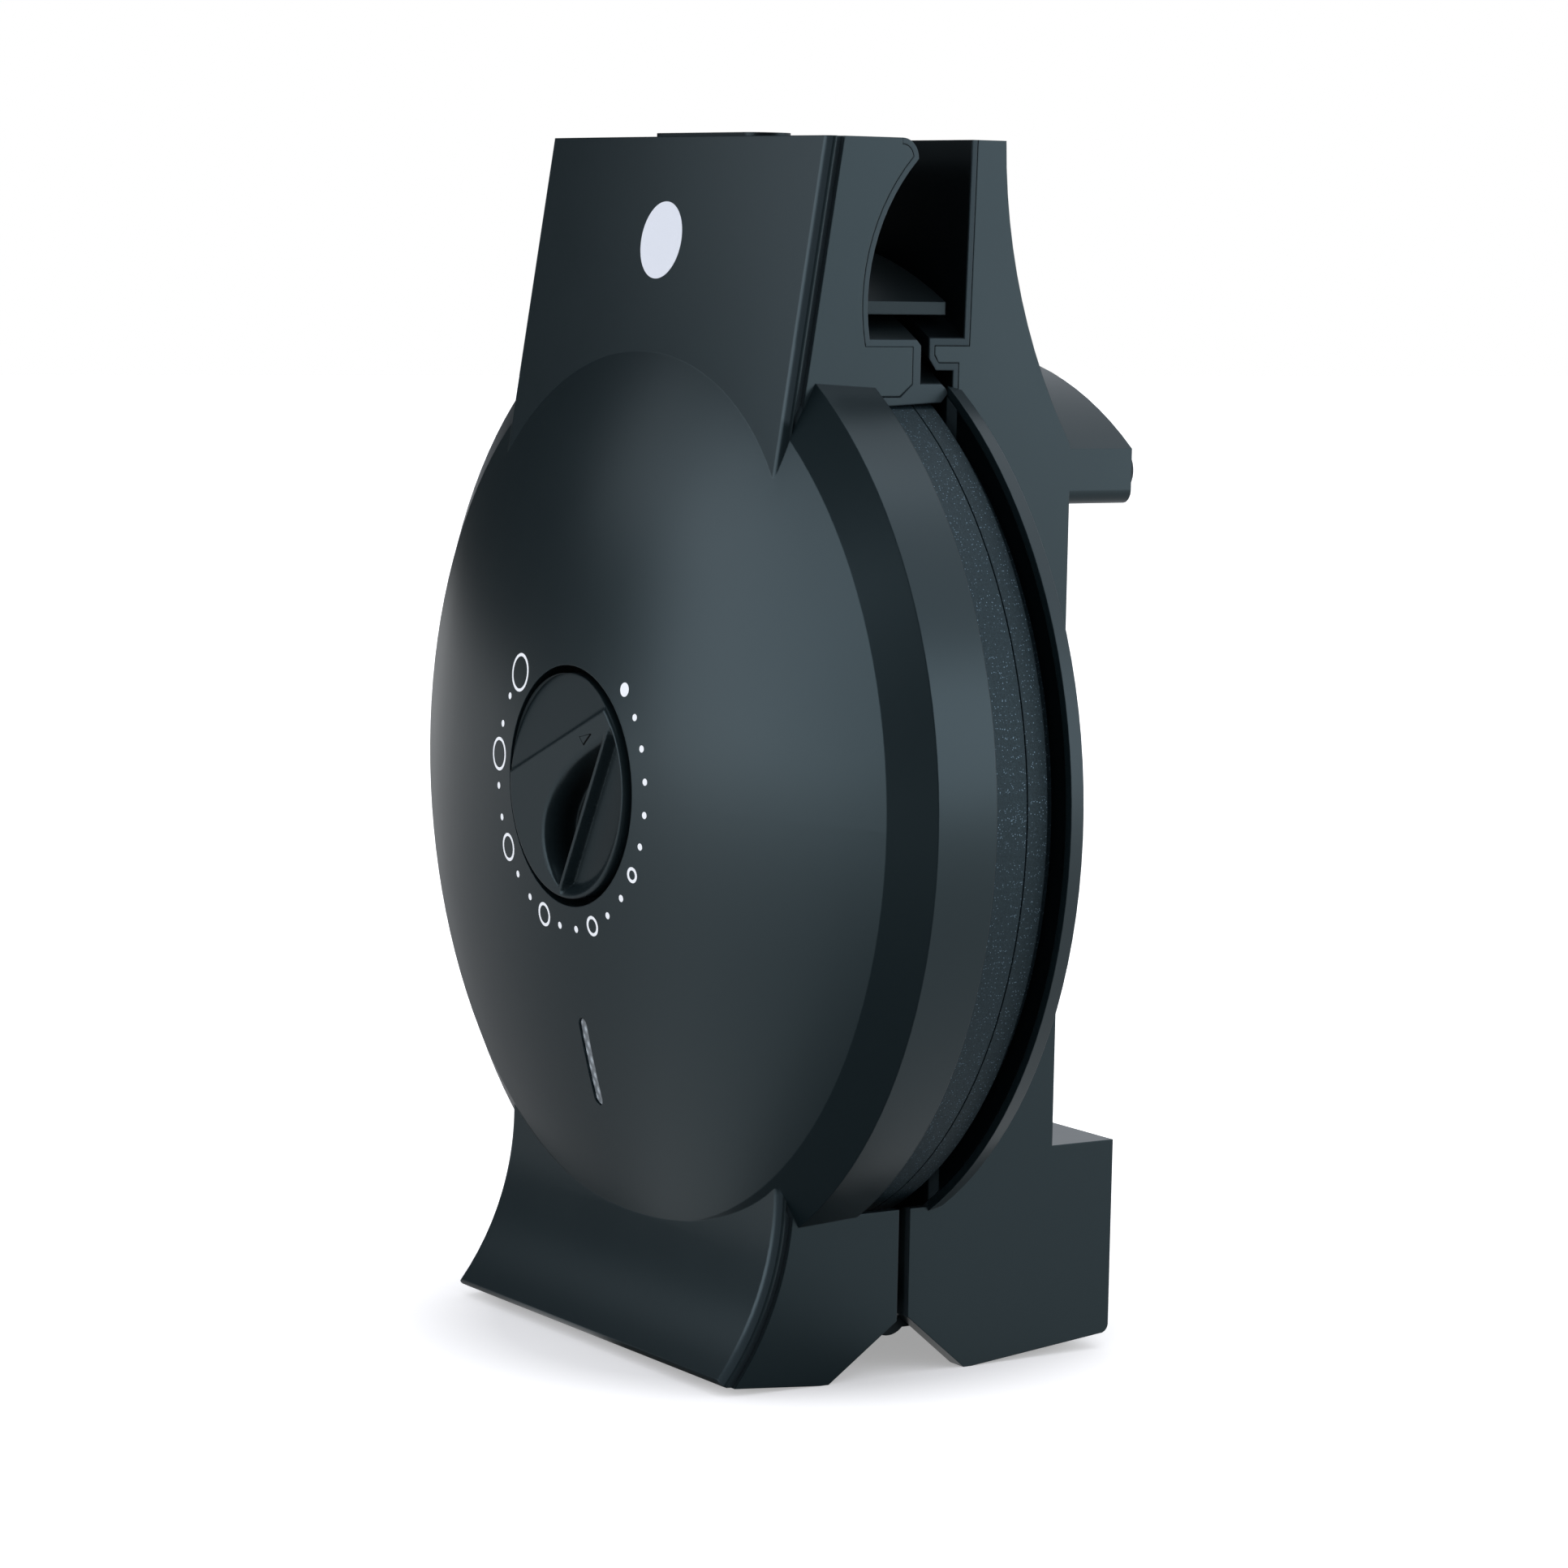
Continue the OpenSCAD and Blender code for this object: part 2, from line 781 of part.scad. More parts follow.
module plate_posts(dish) {
    difference() {
        round_places(post_count, post_ring_r, 45)
            translate([0, 0, plate_t - over / 10])
                cylinder(r = post_r, h = dish - plate_t + over / 10, $fn = fine);
        round_places(post_count, post_ring_r, 45)
            translate([0, 0, plate_t + over])
                cylinder(r = screw_r + fit_gap, h = dish, $fn = fine);
    }
}

module upper_plate() {
    color("#1f2224")
        placed()
            axial()
                mirror([0, 0, 1]) {
                    plate_form(upper_skirt, upper_skirt - over / 2);
                    plate_posts(upper_dish);
                }
}

module lower_plate() {
    color("#1f2224")
        placed()
            axial() {
                plate_form(lower_skirt, plate_recess_y);
                plate_posts(lower_dish);
            }
}

// Heat shield: a dish behind a plate, seated on the frame's flange
module shield_form(seat, hole_r) {
    dish_r = flange_in_r - shield_t;
    difference() {
        rotate_extrude($fn = broad)
            polygon([
                [hole_r, seat + shield_drop],
                [dish_r - shield_drop / 2 - shield_t, seat + shield_drop],
                [dish_r - shield_t, seat],
                [shield_r, seat],
                [shield_r, seat + shield_t],
                [dish_r, seat + shield_t],
                [dish_r - shield_drop / 2, seat + shield_drop + shield_t],
                [hole_r, seat + shield_drop + shield_t]
            ]);
        round_places(post_count, post_ring_r, 45)
            translate([0, 0, seat])
                cylinder(r = screw_hole_r, h = 2 * shield_drop, $fn = fine);
        element_ends_at(0)
            translate([0, 0, seat])
                cylinder(r = 2 * element_tube_r - run_gap, h = 2 * shield_drop, $fn = fine);
    }
}

module upper_heat_shield() {
    color("#b9bcbd")
        placed()
            axial()
                mirror([0, 0, 1])
                    shield_form(upper_skirt + flange_t, thermostat_r + shield_drop);
}

module lower_heat_shield() {
    color("#b9bcbd")
        placed()
            axial()
                shield_form(lower_skirt + flange_t, shield_drop);
}

element_gap = 16;
pin_share = 0.8;
element_pin_r = pin_share * element_tube_r;
element_cut = element_gap - 2 * asin(1.5 * element_tube_r / element_r);

// The two ends of the element's ring, near the hinge end
module element_ends_at(z) {
    for (s = [-1, 1])
        rotate([0, 0, 90 + s * element_gap / 2])
            translate([element_r, 0, z])
                children();
}

module element_form(end_l) {
    difference() {
        translate([0, 0, plate_t + element_tube_r])
            rotate_extrude($fn = broad)
                translate([element_r, 0]) circle(r = element_tube_r, $fn = fine);
        rotate([0, 0, 90 - element_cut / 2])
            translate([0, 0, -over])
                intersection() {
                    cube([2 * element_r, 2 * element_r, 2 * plate_t + 4 * element_tube_r]);
                    rotate([0, 0, element_cut - 90])
                        cube([2 * element_r, 2 * element_r, 2 * plate_t + 4 * element_tube_r]);
                }
    }
    element_ends_at(plate_t + element_tube_r)
        cylinder(r = element_pin_r, h = end_l - plate_t - element_tube_r, $fn = fine);
}

element_end_out = 5;
upper_end = upper_dish + element_end_out;
lower_end = lower_dish + element_end_out;

module upper_element() {
    color("#8d8f8c")
        placed() axial() mirror([0, 0, 1]) element_form(upper_end);
}

module lower_element() {
    color("#8d8f8c")
        placed() axial() element_form(lower_end);
}

plate_screw_l = 8;

module plate_screws_form(dish) {
    round_places(post_count, post_ring_r, 45)
        translate([0, 0, dish + shield_t])
            mirror([0, 0, 1]) screw(plate_screw_l);
}

module upper_plate_screws() {
    color("#9aa0a4")
        placed() axial() mirror([0, 0, 1]) plate_screws_form(upper_dish);
}

module lower_plate_screws() {
    color("#9aa0a4")
        placed() axial() plate_screws_form(lower_dish);
}

/* Thermostat, dial and indicator. */

case_stand = 2;
thermostat_end = upper_dish + case_stand;
bracket_t = 1.6;
bracket_w = 14;
bracket_reach = 9;
bracket_leg = thermostat_r + bracket_reach;
clip_t = 1.2;
shaft_front = knob_y + knob_h - shaft_seat + fit_gap;

module thermostat() {
    color("#c9c3b4")
        placed()
            axial()
                mirror([0, 0, 1])
                    translate([0, 0, plate_t]) {
                        cylinder(r = thermostat_r, h = thermostat_end - plate_t - bracket_t, $fn = fine);
                        cylinder(r = 2 * shaft_r, h = thermostat_end - plate_t - fit_gap, $fn = fine);
                    }
}

module thermostat_bracket() {
    color("#b4b7b9")
        placed()
            axial()
                mirror([0, 0, 1])
                    difference() {
                        union() {
                            translate([-bracket_leg, -bracket_w / 2, thermostat_end])
                                cube([2 * bracket_leg, bracket_w, bracket_t]);
                            for (s = [-1, 1])
                                translate([s * (bracket_leg - bracket_t / 2) - bracket_t / 2,
                                           -bracket_w / 2, upper_dish + shield_t])
                                    cube([bracket_t, bracket_w, thermostat_end - upper_dish]);
                        }
                        cylinder(r = shaft_r + fit_gap, h = 2 * lid_depth, $fn = fine);
                    }
}

module dial_shaft() {
    color("#aeb2b5")
        placed()
            axial()
                difference() {
                    translate([0, 0, shaft_front])
                        cylinder(r = shaft_r, h = -thermostat_end - run_gap - shaft_front, $fn = fine);
                    rotate([0, 0, -pointer_rest])
                        translate([-2 * shaft_r, shaft_flat_share * shaft_r, shaft_front - over])
                            cube([4 * shaft_r, shaft_r, shaft_seat + over]);
                }
}

knob_edge = 0.9;
ledge_angle = 23.2;
ledge_off = 10.1;
ledge_drop = 0.5;
ledge_tilt = 3.5;
dish_angle = 61.7;
dish_off = 9.4;
dish_d = 3.2;
dish_reach = 10;
dish_r = cap_radius(dish_reach, dish_d);
rib_w = 0.9;
pocket_d = 5.2;
pocket_draft = 1.6;
// Places of the pocket's circles along the rib, in shares of the knob's radius, and their sizes
pocket_tail_share = -0.43;
pocket_tail_in = 4;
pocket_tail_r = 8.7;
pocket_mid_share = 0.14;
pocket_mid_in = 3;
pocket_mid_r = 8.1;
pocket_tip_share = 0.74;
pocket_tip_in = 0.6;
pocket_tip_r = 1;

// Pocket in the knob's grip: three circles along the straight rib, drawn in to the floor
module knob_pocket() {
    intersection() {
        hull() {
            pocket_circle(pocket_tail_share, pocket_tail_in, pocket_tail_r);
            pocket_circle(pocket_mid_share, pocket_mid_in, pocket_mid_r);
            pocket_circle(pocket_tip_share, pocket_tip_in, pocket_tip_r);
        }
        translate([-2 * knob_r, dish_off - rib_w - 2 * knob_r, -over])
            cube([4 * knob_r, 2 * knob_r, knob_h]);
    }
}

module pocket_circle(share, gap, r) {
    translate([share * knob_r, dish_off - rib_w - gap, -over])
        cylinder(r1 = r, r2 = max(r - pocket_draft, r / 4), h = pocket_d + over, $fn = 32);
}

// Grip knob: a wedge between a lowered ledge and a dish, with a pocket for the finger
module dial_knob() {
    color("#262d30")
        placed()
            axial()
                translate([0, 0, knob_y])
                    difference() {
                        rotate_extrude($fn = broad) {
                            square([knob_r - knob_edge, knob_h]);
                            translate([0, knob_edge]) square([knob_r, knob_h - knob_edge]);
                            translate([knob_r - knob_edge, knob_edge])
                                circle(r = knob_edge, $fn = fine);
                        }
                        // Ledge on the left of the grip
                        rotate([0, 0, -ledge_angle])
                            translate([-2 * knob_r, -ledge_off, ledge_drop])
                                rotate([ledge_tilt, 0, 0])
                                    translate([0, -2 * knob_r, -knob_h])
                                        cube([4 * knob_r, 2 * knob_r, knob_h]);
                        // Dish on the right of the grip, along its rib
                        rotate([0, 0, -dish_angle]) {
                            translate([-2 * knob_r, dish_off + dish_reach, dish_d - dish_r])
                                rotate([0, 90, 0])
                                    cylinder(r = dish_r, h = 4 * knob_r, $fn = broad);
                            knob_pocket();
                        }
                        translate([0, 0, knob_h - shaft_seat])
                            difference() {
                                cylinder(r = shaft_r + fit_gap, h = knob_h, $fn = fine);
                                rotate([0, 0, -pointer_rest])
                                    translate([-2 * shaft_r, shaft_flat_share * shaft_r + fit_gap, -over])
                                        cube([4 * shaft_r, shaft_r, knob_h + 2 * over]);
                            }
                    }
}

module knob_clip() {
    color("#b7bbbe")
        placed()
            axial()
                translate([0, 0, recess_y + wall + run_gap])
                    difference() {
                        cylinder(r = 2 * shaft_r, h = clip_t, $fn = fine);
                        translate([0, 0, -over])
                            cylinder(r = shaft_r + fit_gap, h = clip_t + 2 * over, $fn = fine);
                    }
}

lens_flange = 1.6;
lens_t = 1.2;
lens_sink = 0.5;

module indicator_lens() {
    color("#c8ced2", 0.6)
        placed()
            union() {
                intersection() {
                    window_prism(window_l - 2 * seam, window_w - 2 * seam);
                    dome_shell(lens_sink, wall + lens_t);
                }
                intersection() {
                    window_prism(window_l + 2 * lens_flange, window_w + 2 * lens_flange);
                    dome_shell(wall + fit_gap, wall + lens_t);
                }
            }
}

// Layer under the dome's surface, from one depth to another
module dome_shell(from, to) {
    axial()
        translate([0, 0, dome_ball_y])
            difference() {
                sphere(r = dome_ball_r - from, $fn = broad);
                sphere(r = dome_ball_r - to, $fn = broad);
            }
}

lamp_r = 2.6;
lamp_l = 14;
lamp_y = dome_y(window_out + window_l / 2) + wall + lens_t + lamp_r + 2 * run_gap;
holder_w = 4;

module indicator_lamp() {
    color("#e0d6c8")
        placed()
            translate([0, lamp_y, window_z - lamp_l / 2]) {
                cylinder(r = lamp_r, h = lamp_l, $fn = fine);
                translate([0, 0, lamp_l]) sphere(r = lamp_r, $fn = fine);
            }
}

module lamp_holder() {
    color("#3a3f42")
        placed()
            difference() {
                translate([-lamp_r - holder_w / 2, lamp_y, window_z - lamp_l / 2])
                    cube([2 * lamp_r + holder_w, -upper_dish - shield_t - lamp_y, lamp_l / 2]);
                translate([0, lamp_y, window_z - lamp_l])
                    cylinder(r = lamp_r + fit_gap, h = 2 * lamp_l, $fn = fine);
            }
}

/* The base. */

grip_lean = 1.1;
curve_y = grip_d + grip_lean + grip_t + back_curve_r;
curve_rise = 2;
curve_z = top_z + curve_rise;
grip_low_share = 0.8;
grip_low_z = centre_z + grip_low_share * floor_r;
block_y = back_d - wall;
bulkhead_z = 12.3;
bulkhead_t = 2.5;
foot_r = plate_r - foot_inset;
foot_edge = 3;
foot_z = centre_z + plate_r - foot_under_inset;
bowl_room_r = plate_r + ring_room;

// Side profile of the base band: handle, spine and tail
module base_side() {
    difference() {
        union() {
            polygon([
                [grip_d + edge_t + seam, grip_low_z],
                [grip_d + edge_t + seam + grip_lean, top_z],
                [back_d + back_curve_r / 5, top_z],
                [back_d + back_curve_r / 5, grip_low_z]
            ]);
            translate([rim_front + rim_w, tail_top_z])
                square([back_d - rim_front - rim_w, grip_low_z - tail_top_z + over]);
            translate([base_tail_y, 0]) square([back_d - base_tail_y, tail_top_z + over]);
            translate([block_y, heel_rise + rear_round])
                square([foot_d - block_y, rear_foot_h - heel_rise - rear_round]);
            translate([block_y, 0]) square([foot_d - block_y - rear_round, rear_foot_h]);
            translate([foot_d - rear_round, heel_rise + rear_round])
                circle(r = rear_round, $fn = fine);
        }
        translate([curve_y, curve_z]) circle(r = back_curve_r, $fn = broad);
        translate([back_d, foot_z]) square([back_curve_r, top_z]);
        translate([0, tail_top_z]) square([rim_front, centre_z]);
        polygon([
            [base_tail_y - over, -over],
            [base_tail_y - over, base_notch_z],
            [base_tail_y, base_notch_z],
            [base_notch_y, 0],
            [base_notch_y, -over]
        ]);
        polygon([
            [base_notch_y + end_land, -over],
            [base_notch_y + end_land, 0],
            [foot_d - rear_round, heel_rise],
            [foot_d + over, heel_rise],
            [foot_d + over, -over]
        ]);
    }
}

rear_round = 2;

module base_round() {
    axial()
        intersection() {
            translate([0, 0, bowl_ball_y]) sphere(r = bowl_ball_r, $fn = broad);
            rotate_extrude($fn = broad)
                polygon([
                    [0, rim_front],
                    [rim_r, rim_front],
                    [rim_r - ring_draft, rim_front + rim_w],
                    [rim_r - ring_draft, rim_front + rim_w + 2 * bowl_rise],
                    [0, rim_front + rim_w + 2 * bowl_rise]
                ]);
        }
}

// Front foot: a segment with an arched top and a rounded underside
module foot_form(inset, y0, y1) {
    w = half_w - inset;
    intersection() {
        axial()
            translate([0, 0, y0])
                cylinder(r = foot_r - inset, h = y1 - y0, $fn = broad);
        translate([0, y1, 0])
            rotate([90, 0, 0])
                linear_extrude(y1 - y0)
                    union() {
                        translate([-w, foot_z + foot_edge])
                            square([2 * w, foot_r]);
                        translate([-w + foot_edge, foot_z + inset])
                            square([2 * (w - foot_edge), foot_r]);
                        both_sides()
                            translate([half_w - foot_edge, foot_z + foot_edge])
                                circle(r = foot_edge - inset, $fn = fine);
                    }
    }
}

module base_neck(points) {
    intersection() {
        axial() rotate_extrude($fn = broad) polygon(points);
        translate([-half_w, 0, handle_low_z])
            cube([band_w, front_depth, top_z]);
    }
}

base_strip_r = bowl_room_r;
base_flange_back = base_flange_y + flange_t;

module base_shell_form() {
    base_round();
    across(band_w) base_side();
    foot_form(0, block_y, foot_d);
    base_neck([
        [base_floor_r - edge_t - seam, grip_d + edge_t + wall],
        [base_floor_r - edge_t - seam, base_step_y + edge_t + seam],
        [base_step_r + edge_t / 2 + seam, base_step_y + edge_t + seam],
        [base_ledge_r + edge_t + seam, base_step_y + base_notch + edge_t / 2],
        [base_ledge_r + edge_t + seam, base_ledge_y + edge_t + seam],
        [base_strip_r, base_ledge_y + edge_t + seam],
        [base_strip_r, grip_d + edge_t + wall]
    ]);
}

module base_shell_room() {
    axial()
        intersection() {
            translate([0, 0, bowl_ball_y]) sphere(r = bowl_ball_r - wall, $fn = broad);
            translate([0, 0, -over])
                cylinder(r = bowl_room_r, h = back_d, $fn = broad);
        }
    axial()
        translate([0, 0, -over])
            cylinder(r = bowl_room_r, h = base_flange_back + seam + over, $fn = broad);
    base_neck([
        [flange_out_r - over, 0],
        [base_ledge_r + edge_t + seam, 0],
        [base_ledge_r + edge_t + seam, base_ledge_y + edge_t + seam],
        [flange_out_r - over, base_ledge_y + edge_t + seam]
    ]);
    intersection() {
        across(band_w - 2 * side_wall)
            difference() {
                translate([rim_front, bulkhead_z + bulkhead_t])
                    square([back_d - wall - rim_front, top_z - wall - bulkhead_z - bulkhead_t]);
                translate([curve_y, curve_z]) circle(r = back_curve_r + wall, $fn = broad);
            }
        union() {
            translate([-half_w, 0, hinge_z + 2 * arm_h]) cube([band_w, back_d, top_z]);
            translate([-half_w + cheek, 0, 0]) cube([band_w - 2 * cheek, back_d, top_z]);
        }
    }
    foot_form(wall, block_y - over, foot_d - wall);
    translate([-half_w + wall, back_d, -over])
        cube([band_w - 2 * wall, foot_d - wall - back_d, rear_foot_h - wall + over]);
    // Cord recess between the cheeks, and the open front of the tail
    translate([-half_w + cheek, -over, -over])
        cube([band_w - 2 * cheek, back_d - wall + over, bulkhead_z + over]);
    translate([-half_w + cheek, -over, -over])
        cube([band_w - 2 * cheek, base_flange_y + flange_t + seam + over, tail_top_z + wall]);
}

module back_screw_places() {
    axial() round_places(post_count, boss_ring_r, 45) children();
}

back_seat_y = bowl_y(boss_ring_r + head_r) - head_h;
gland_y = 25;
gland_bore_r = 3.4;
gland_r = 5;
gland_flange_r = 7.5;
gland_flange_t = 2.5;

module base_shell() {
    color("#2b3437")
        placed()
            difference() {
                union() {
                    difference() {
                        base_shell_form();
                        base_shell_room();
                    }
                    intersection() {
                        back_screw_places()
                            translate([0, 0, base_flange_back])
                                cylinder(r = boss_r, h = bowl_rise, $fn = fine);
                        axial() translate([0, 0, bowl_ball_y])
                            sphere(r = bowl_ball_r - wall / 2, $fn = broad);
                    }
                }
                back_screw_places() {
                    translate([0, 0, back_seat_y]) cylinder(r = boss_hole_r, h = bowl_rise, $fn = fine);
                    cylinder(r = screw_hole_r, h = bowl_rise, $fn = fine);
                }
                translate([0, gland_y, bulkhead_z - over])
                    cylinder(r = gland_r + fit_gap, h = bulkhead_t + 2 * over, $fn = fine);
                foot_pad_places()
                    translate([0, 0, -pad_stem_l - run_gap])
                        cylinder(r = pad_stem_r + fit_gap, h = pad_stem_l + over, $fn = fine);
            }
}

front_pad_inset = 8;
front_pad_x = half_w - front_pad_inset;
front_pad_up = 6.8;
front_pad_z = foot_z + front_pad_up;
rear_pad_inset = 10.5;
rear_pad_x = half_w - rear_pad_inset;
rear_pad_z = 12;
pad_round = 2.2;
pad_stem_r = 1.8;
pad_stem_l = wall;

// Pad places on the feet's end faces, pointing out of the faces
module foot_pad_places() {
    front_pad_places() children();
    rear_pad_places() children();
}

module front_pad_places() {
    both_sides()
        translate([front_pad_x, foot_d, front_pad_z]) rotate([-90, 0, 0]) children();
}

module rear_pad_places() {
    both_sides()
        translate([rear_pad_x, foot_d, rear_pad_z]) rotate([-90, 0, 0]) children();
}

// Rubber pad with a rounded rim, and a stem pressed into the foot
module pad_form() {
    rotate_extrude($fn = fine) {
        square([pad_r - pad_round, pad_out]);
        square([pad_r, pad_out - pad_round]);
        intersection() {
            translate([pad_r - pad_round, pad_out - pad_round]) circle(r = pad_round, $fn = fine);
            square([pad_r, pad_out]);
        }
    }
    translate([0, 0, -pad_stem_l]) cylinder(r = pad_stem_r, h = pad_stem_l + over / 10, $fn = fine);
}

module front_foot_pads() {
    color("#3c4245")
        placed() front_pad_places() pad_form();
}

module rear_foot_pads() {
    color("#3c4245")
        placed() rear_pad_places() pad_form();
}

module base_frame() {
    color("#20282b")
        placed()
            difference() {
                union() {
                    // Grip face of the handle
                    intersection() {
                        across(band_w)
                            polygon([
                                [grip_d, grip_low_z],
                                [grip_d + grip_lean, top_z],
                                [grip_d + grip_lean + edge_t, top_z],
                                [grip_d + edge_t, grip_low_z]
                            ]);
                        axial_outside(base_floor_r - edge_t);
                    }
                    // Floor, step and ledge that the lid's lip runs in
                    base_neck([
                        [base_floor_r, grip_d + edge_t],
                        [base_floor_r, base_step_y],
                        [base_step_r, base_step_y],
                        [base_ledge_r, base_step_y + base_notch],
                        [base_ledge_r, base_ledge_y],
                        [flange_out_r - over, base_ledge_y],
                        [flange_out_r - over, base_ledge_y + edge_t],
                        [base_ledge_r + edge_t, base_ledge_y + edge_t],
                        [base_ledge_r + edge_t, base_step_y + base_notch + edge_t / 2],
                        [base_step_r + edge_t / 2, base_step_y + edge_t],
                        [base_floor_r - edge_t, base_step_y + edge_t],
                        [base_floor_r - edge_t, grip_d + edge_t]
                    ]);
                    axial()
                        translate([0, 0, base_flange_y])
                            difference() {
                                cylinder(r = flange_out_r, h = flange_t, $fn = broad);
                                translate([0, 0, -over])
                                    cylinder(r = flange_in_r, h = flange_t + 2 * over, $fn = broad);
                            }
                    base_knuckle_web();
                }
                back_screw_places() cylinder(r = screw_r + fit_gap, h = bowl_rise, $fn = fine);
                pin_bore(pin_r + fit_gap / 2);
            }
}

knuckle_gap = 0.6;
inner_knuckle_x = knuckle_x - knuckle_w / 2 - knuckle_gap - knuckle_side / 2;
outer_knuckle_x = knuckle_x + knuckle_w / 2 + knuckle_gap + knuckle_side / 2;

module base_knuckle_web() {
    difference() {
        translate([-half_w + cheek + seam, base_flange_y, bulkhead_z + seam])
            cube([band_w - 2 * (cheek + seam), flange_t, web_h - bulkhead_z]);
        both_sides()
            translate([knuckle_x - knuckle_w / 2 - knuckle_gap, 0, 0])
                cube([knuckle_w + 2 * knuckle_gap, back_d, hinge_z + knuckle_r + knuckle_gap]);
    }
    both_sides()
        for (x = [inner_knuckle_x, outer_knuckle_x]) {
            knuckle(x, knuckle_side);
            translate([x - knuckle_side / 2, hinge_d, hinge_z - arm_h / 2])
                cube([knuckle_side, base_flange_y + flange_t - hinge_d, arm_h]);
        }
}

module hinge_pins() {
    color("#a9adb0")
        placed()
            both_sides()
                translate([inner_knuckle_x - knuckle_side / 2, hinge_d, hinge_z])
                    rotate([0, 90, 0])
                        cylinder(r = pin_r, h = outer_knuckle_x - inner_knuckle_x + knuckle_side, $fn = fine);
}

back_screw_l = back_seat_y - base_flange_y;

module base_screws() {
    color("#9aa0a4")
        placed()
            back_screw_places()
                translate([0, 0, back_seat_y]) mirror([0, 0, 1]) screw(back_screw_l);
}

module cord_gland() {
    color("#1a1e20")
        placed()
            translate([0, gland_y, bulkhead_z])
                difference() {
                    union() {
                        translate([0, 0, -gland_flange_t]) cylinder(r = gland_flange_r, h = gland_flange_t, $fn = fine);
                        cylinder(r = gland_r, h = bulkhead_t + over / 10, $fn = fine);
                        translate([0, 0, bulkhead_t]) cylinder(r = gland_flange_r, h = gland_flange_t, $fn = fine);
                    }
                    translate([0, 0, -gland_flange_t - over])
                        cylinder(r = gland_bore_r, h = bulkhead_t + 2 * (gland_flange_t + over), $fn = fine);
                }
}

block_w = 34;
block_h = 13;
block_t = 11;
block_z = 30;
lead_r = 1.2;
lead_bend_r = 1.5;
pole_pitch = 11;

module terminal_block() {
    color("#d9d4c6")
        placed()
            difference() {
                translate([-block_w / 2, back_d - wall - block_t, block_z])
                    cube([block_w, block_t, block_h]);
                for (i = [-1 : 1])
                    translate([i * pole_pitch, back_d - wall - block_t / 2, block_z - over])
                        cylinder(r = lead_r + fit_gap, h = block_h + 2 * over, $fn = fine);
            }
}

// Straight lead between two places
module lead(a, b) {
    d = b - a;
    l = norm(d);
    translate(a)
        rotate([0, acos(d[2] / l), atan2(d[1], d[0])])
            cylinder(r = lead_r, h = l, $fn = fine);
    translate(b) sphere(r = lead_bend_r, $fn = fine);
}

lead_end_z = centre_z - element_r * cos(element_gap / 2);
lead_end_x = element_r * sin(element_gap / 2);
knee_y = back_d - wall - block_t / 2;
shield_clear = upper_dish + shield_t + 2 * lead_r;
lead_stop_z = centre_z - thermostat_r - 2 * lead_r;

module base_wiring() {
    color("#b9342b")
        placed()
            for (s = [-1, 1]) {
                lead([s * pole_pitch, knee_y, block_z + block_h - 2 * lead_r],
                     [s * pole_pitch, knee_y, lead_end_z - 2 * lead_r]);
                lead([s * pole_pitch, knee_y, lead_end_z - 2 * lead_r],
                     [s * lead_end_x, lower_end + lead_bend_r + seam, lead_end_z]);
            }
}

module lid_wiring() {
    color("#b9342b")
        placed() {
            lead([lead_end_x, -upper_end - lead_bend_r - seam, lead_end_z],
                 [0, -shield_clear, lead_stop_z]);
            lead([0, -shield_clear, lead_stop_z], [0, -upper_dish + 2 * lead_r, lead_stop_z]);
        }
}

lid_shell();
lid_frame();
handle_end_pad();
lid_screws();
upper_plate();
upper_plate_screws();
upper_element();
upper_heat_shield();
thermostat();
thermostat_bracket();
indicator_lens();
indicator_lamp();
lamp_holder();
lid_wiring();
dial_knob();
dial_shaft();
knob_clip();
base_shell();
base_frame();
base_screws();
lower_plate();
lower_plate_screws();
lower_element();
lower_heat_shield();
hinge_pins();
front_foot_pads();
rear_foot_pads();
cord_gland();
terminal_block();
base_wiring();
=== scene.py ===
"""Looks of an upright electric krumkake iron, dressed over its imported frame.

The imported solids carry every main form. This script gives each of them its finish, softens the
knob, prints the dial's scale, sets the plain badge and lights the iron in a plain studio.
Lengths in the classes are in millimetres, and the meshes are in metres.
"""

import logging
import math
from dataclasses import dataclass, field
from enum import Enum

import bpy
from bpy.types import Material, Node, NodeOutputs, NodeSocket, NodeTree, Object
from mathutils import Matrix, Vector


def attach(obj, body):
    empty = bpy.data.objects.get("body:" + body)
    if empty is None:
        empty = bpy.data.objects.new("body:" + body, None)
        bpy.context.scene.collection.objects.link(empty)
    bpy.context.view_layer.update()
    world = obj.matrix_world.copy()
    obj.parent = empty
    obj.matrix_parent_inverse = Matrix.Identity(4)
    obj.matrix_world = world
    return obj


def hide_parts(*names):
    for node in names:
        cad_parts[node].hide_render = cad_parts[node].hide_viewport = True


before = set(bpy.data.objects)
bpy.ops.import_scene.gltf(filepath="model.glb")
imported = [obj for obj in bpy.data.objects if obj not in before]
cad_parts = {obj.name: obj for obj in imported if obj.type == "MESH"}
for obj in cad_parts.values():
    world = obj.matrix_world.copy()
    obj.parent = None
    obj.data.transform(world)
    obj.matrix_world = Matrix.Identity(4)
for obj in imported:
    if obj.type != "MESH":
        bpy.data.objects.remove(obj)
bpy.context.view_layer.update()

Colour = tuple[float, float, float]
Place = tuple[float, float, float]
Span = tuple[float, float]

log = logging.getLogger("krumkake_iron")
MM = 0.001  # a millimetre in the meshes' metres
AXIS_Z = 122.4  # height of the axis that the plates, the dome and the dial share
PRINT_Y = -100.0  # where flat marks are drawn, in front of the iron
PRINT_STEP = 0.2  # thickness that they are drawn with
WHITE = (1.0, 1.0, 1.0, 1.0)
BLACK = (0.0, 0.0, 0.0, 1.0)
NODES: dict[str, Object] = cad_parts


class Body(Enum):
    """The moving bodies that the new pieces ride on."""

    LID = "lid"
    DIAL = "dial"


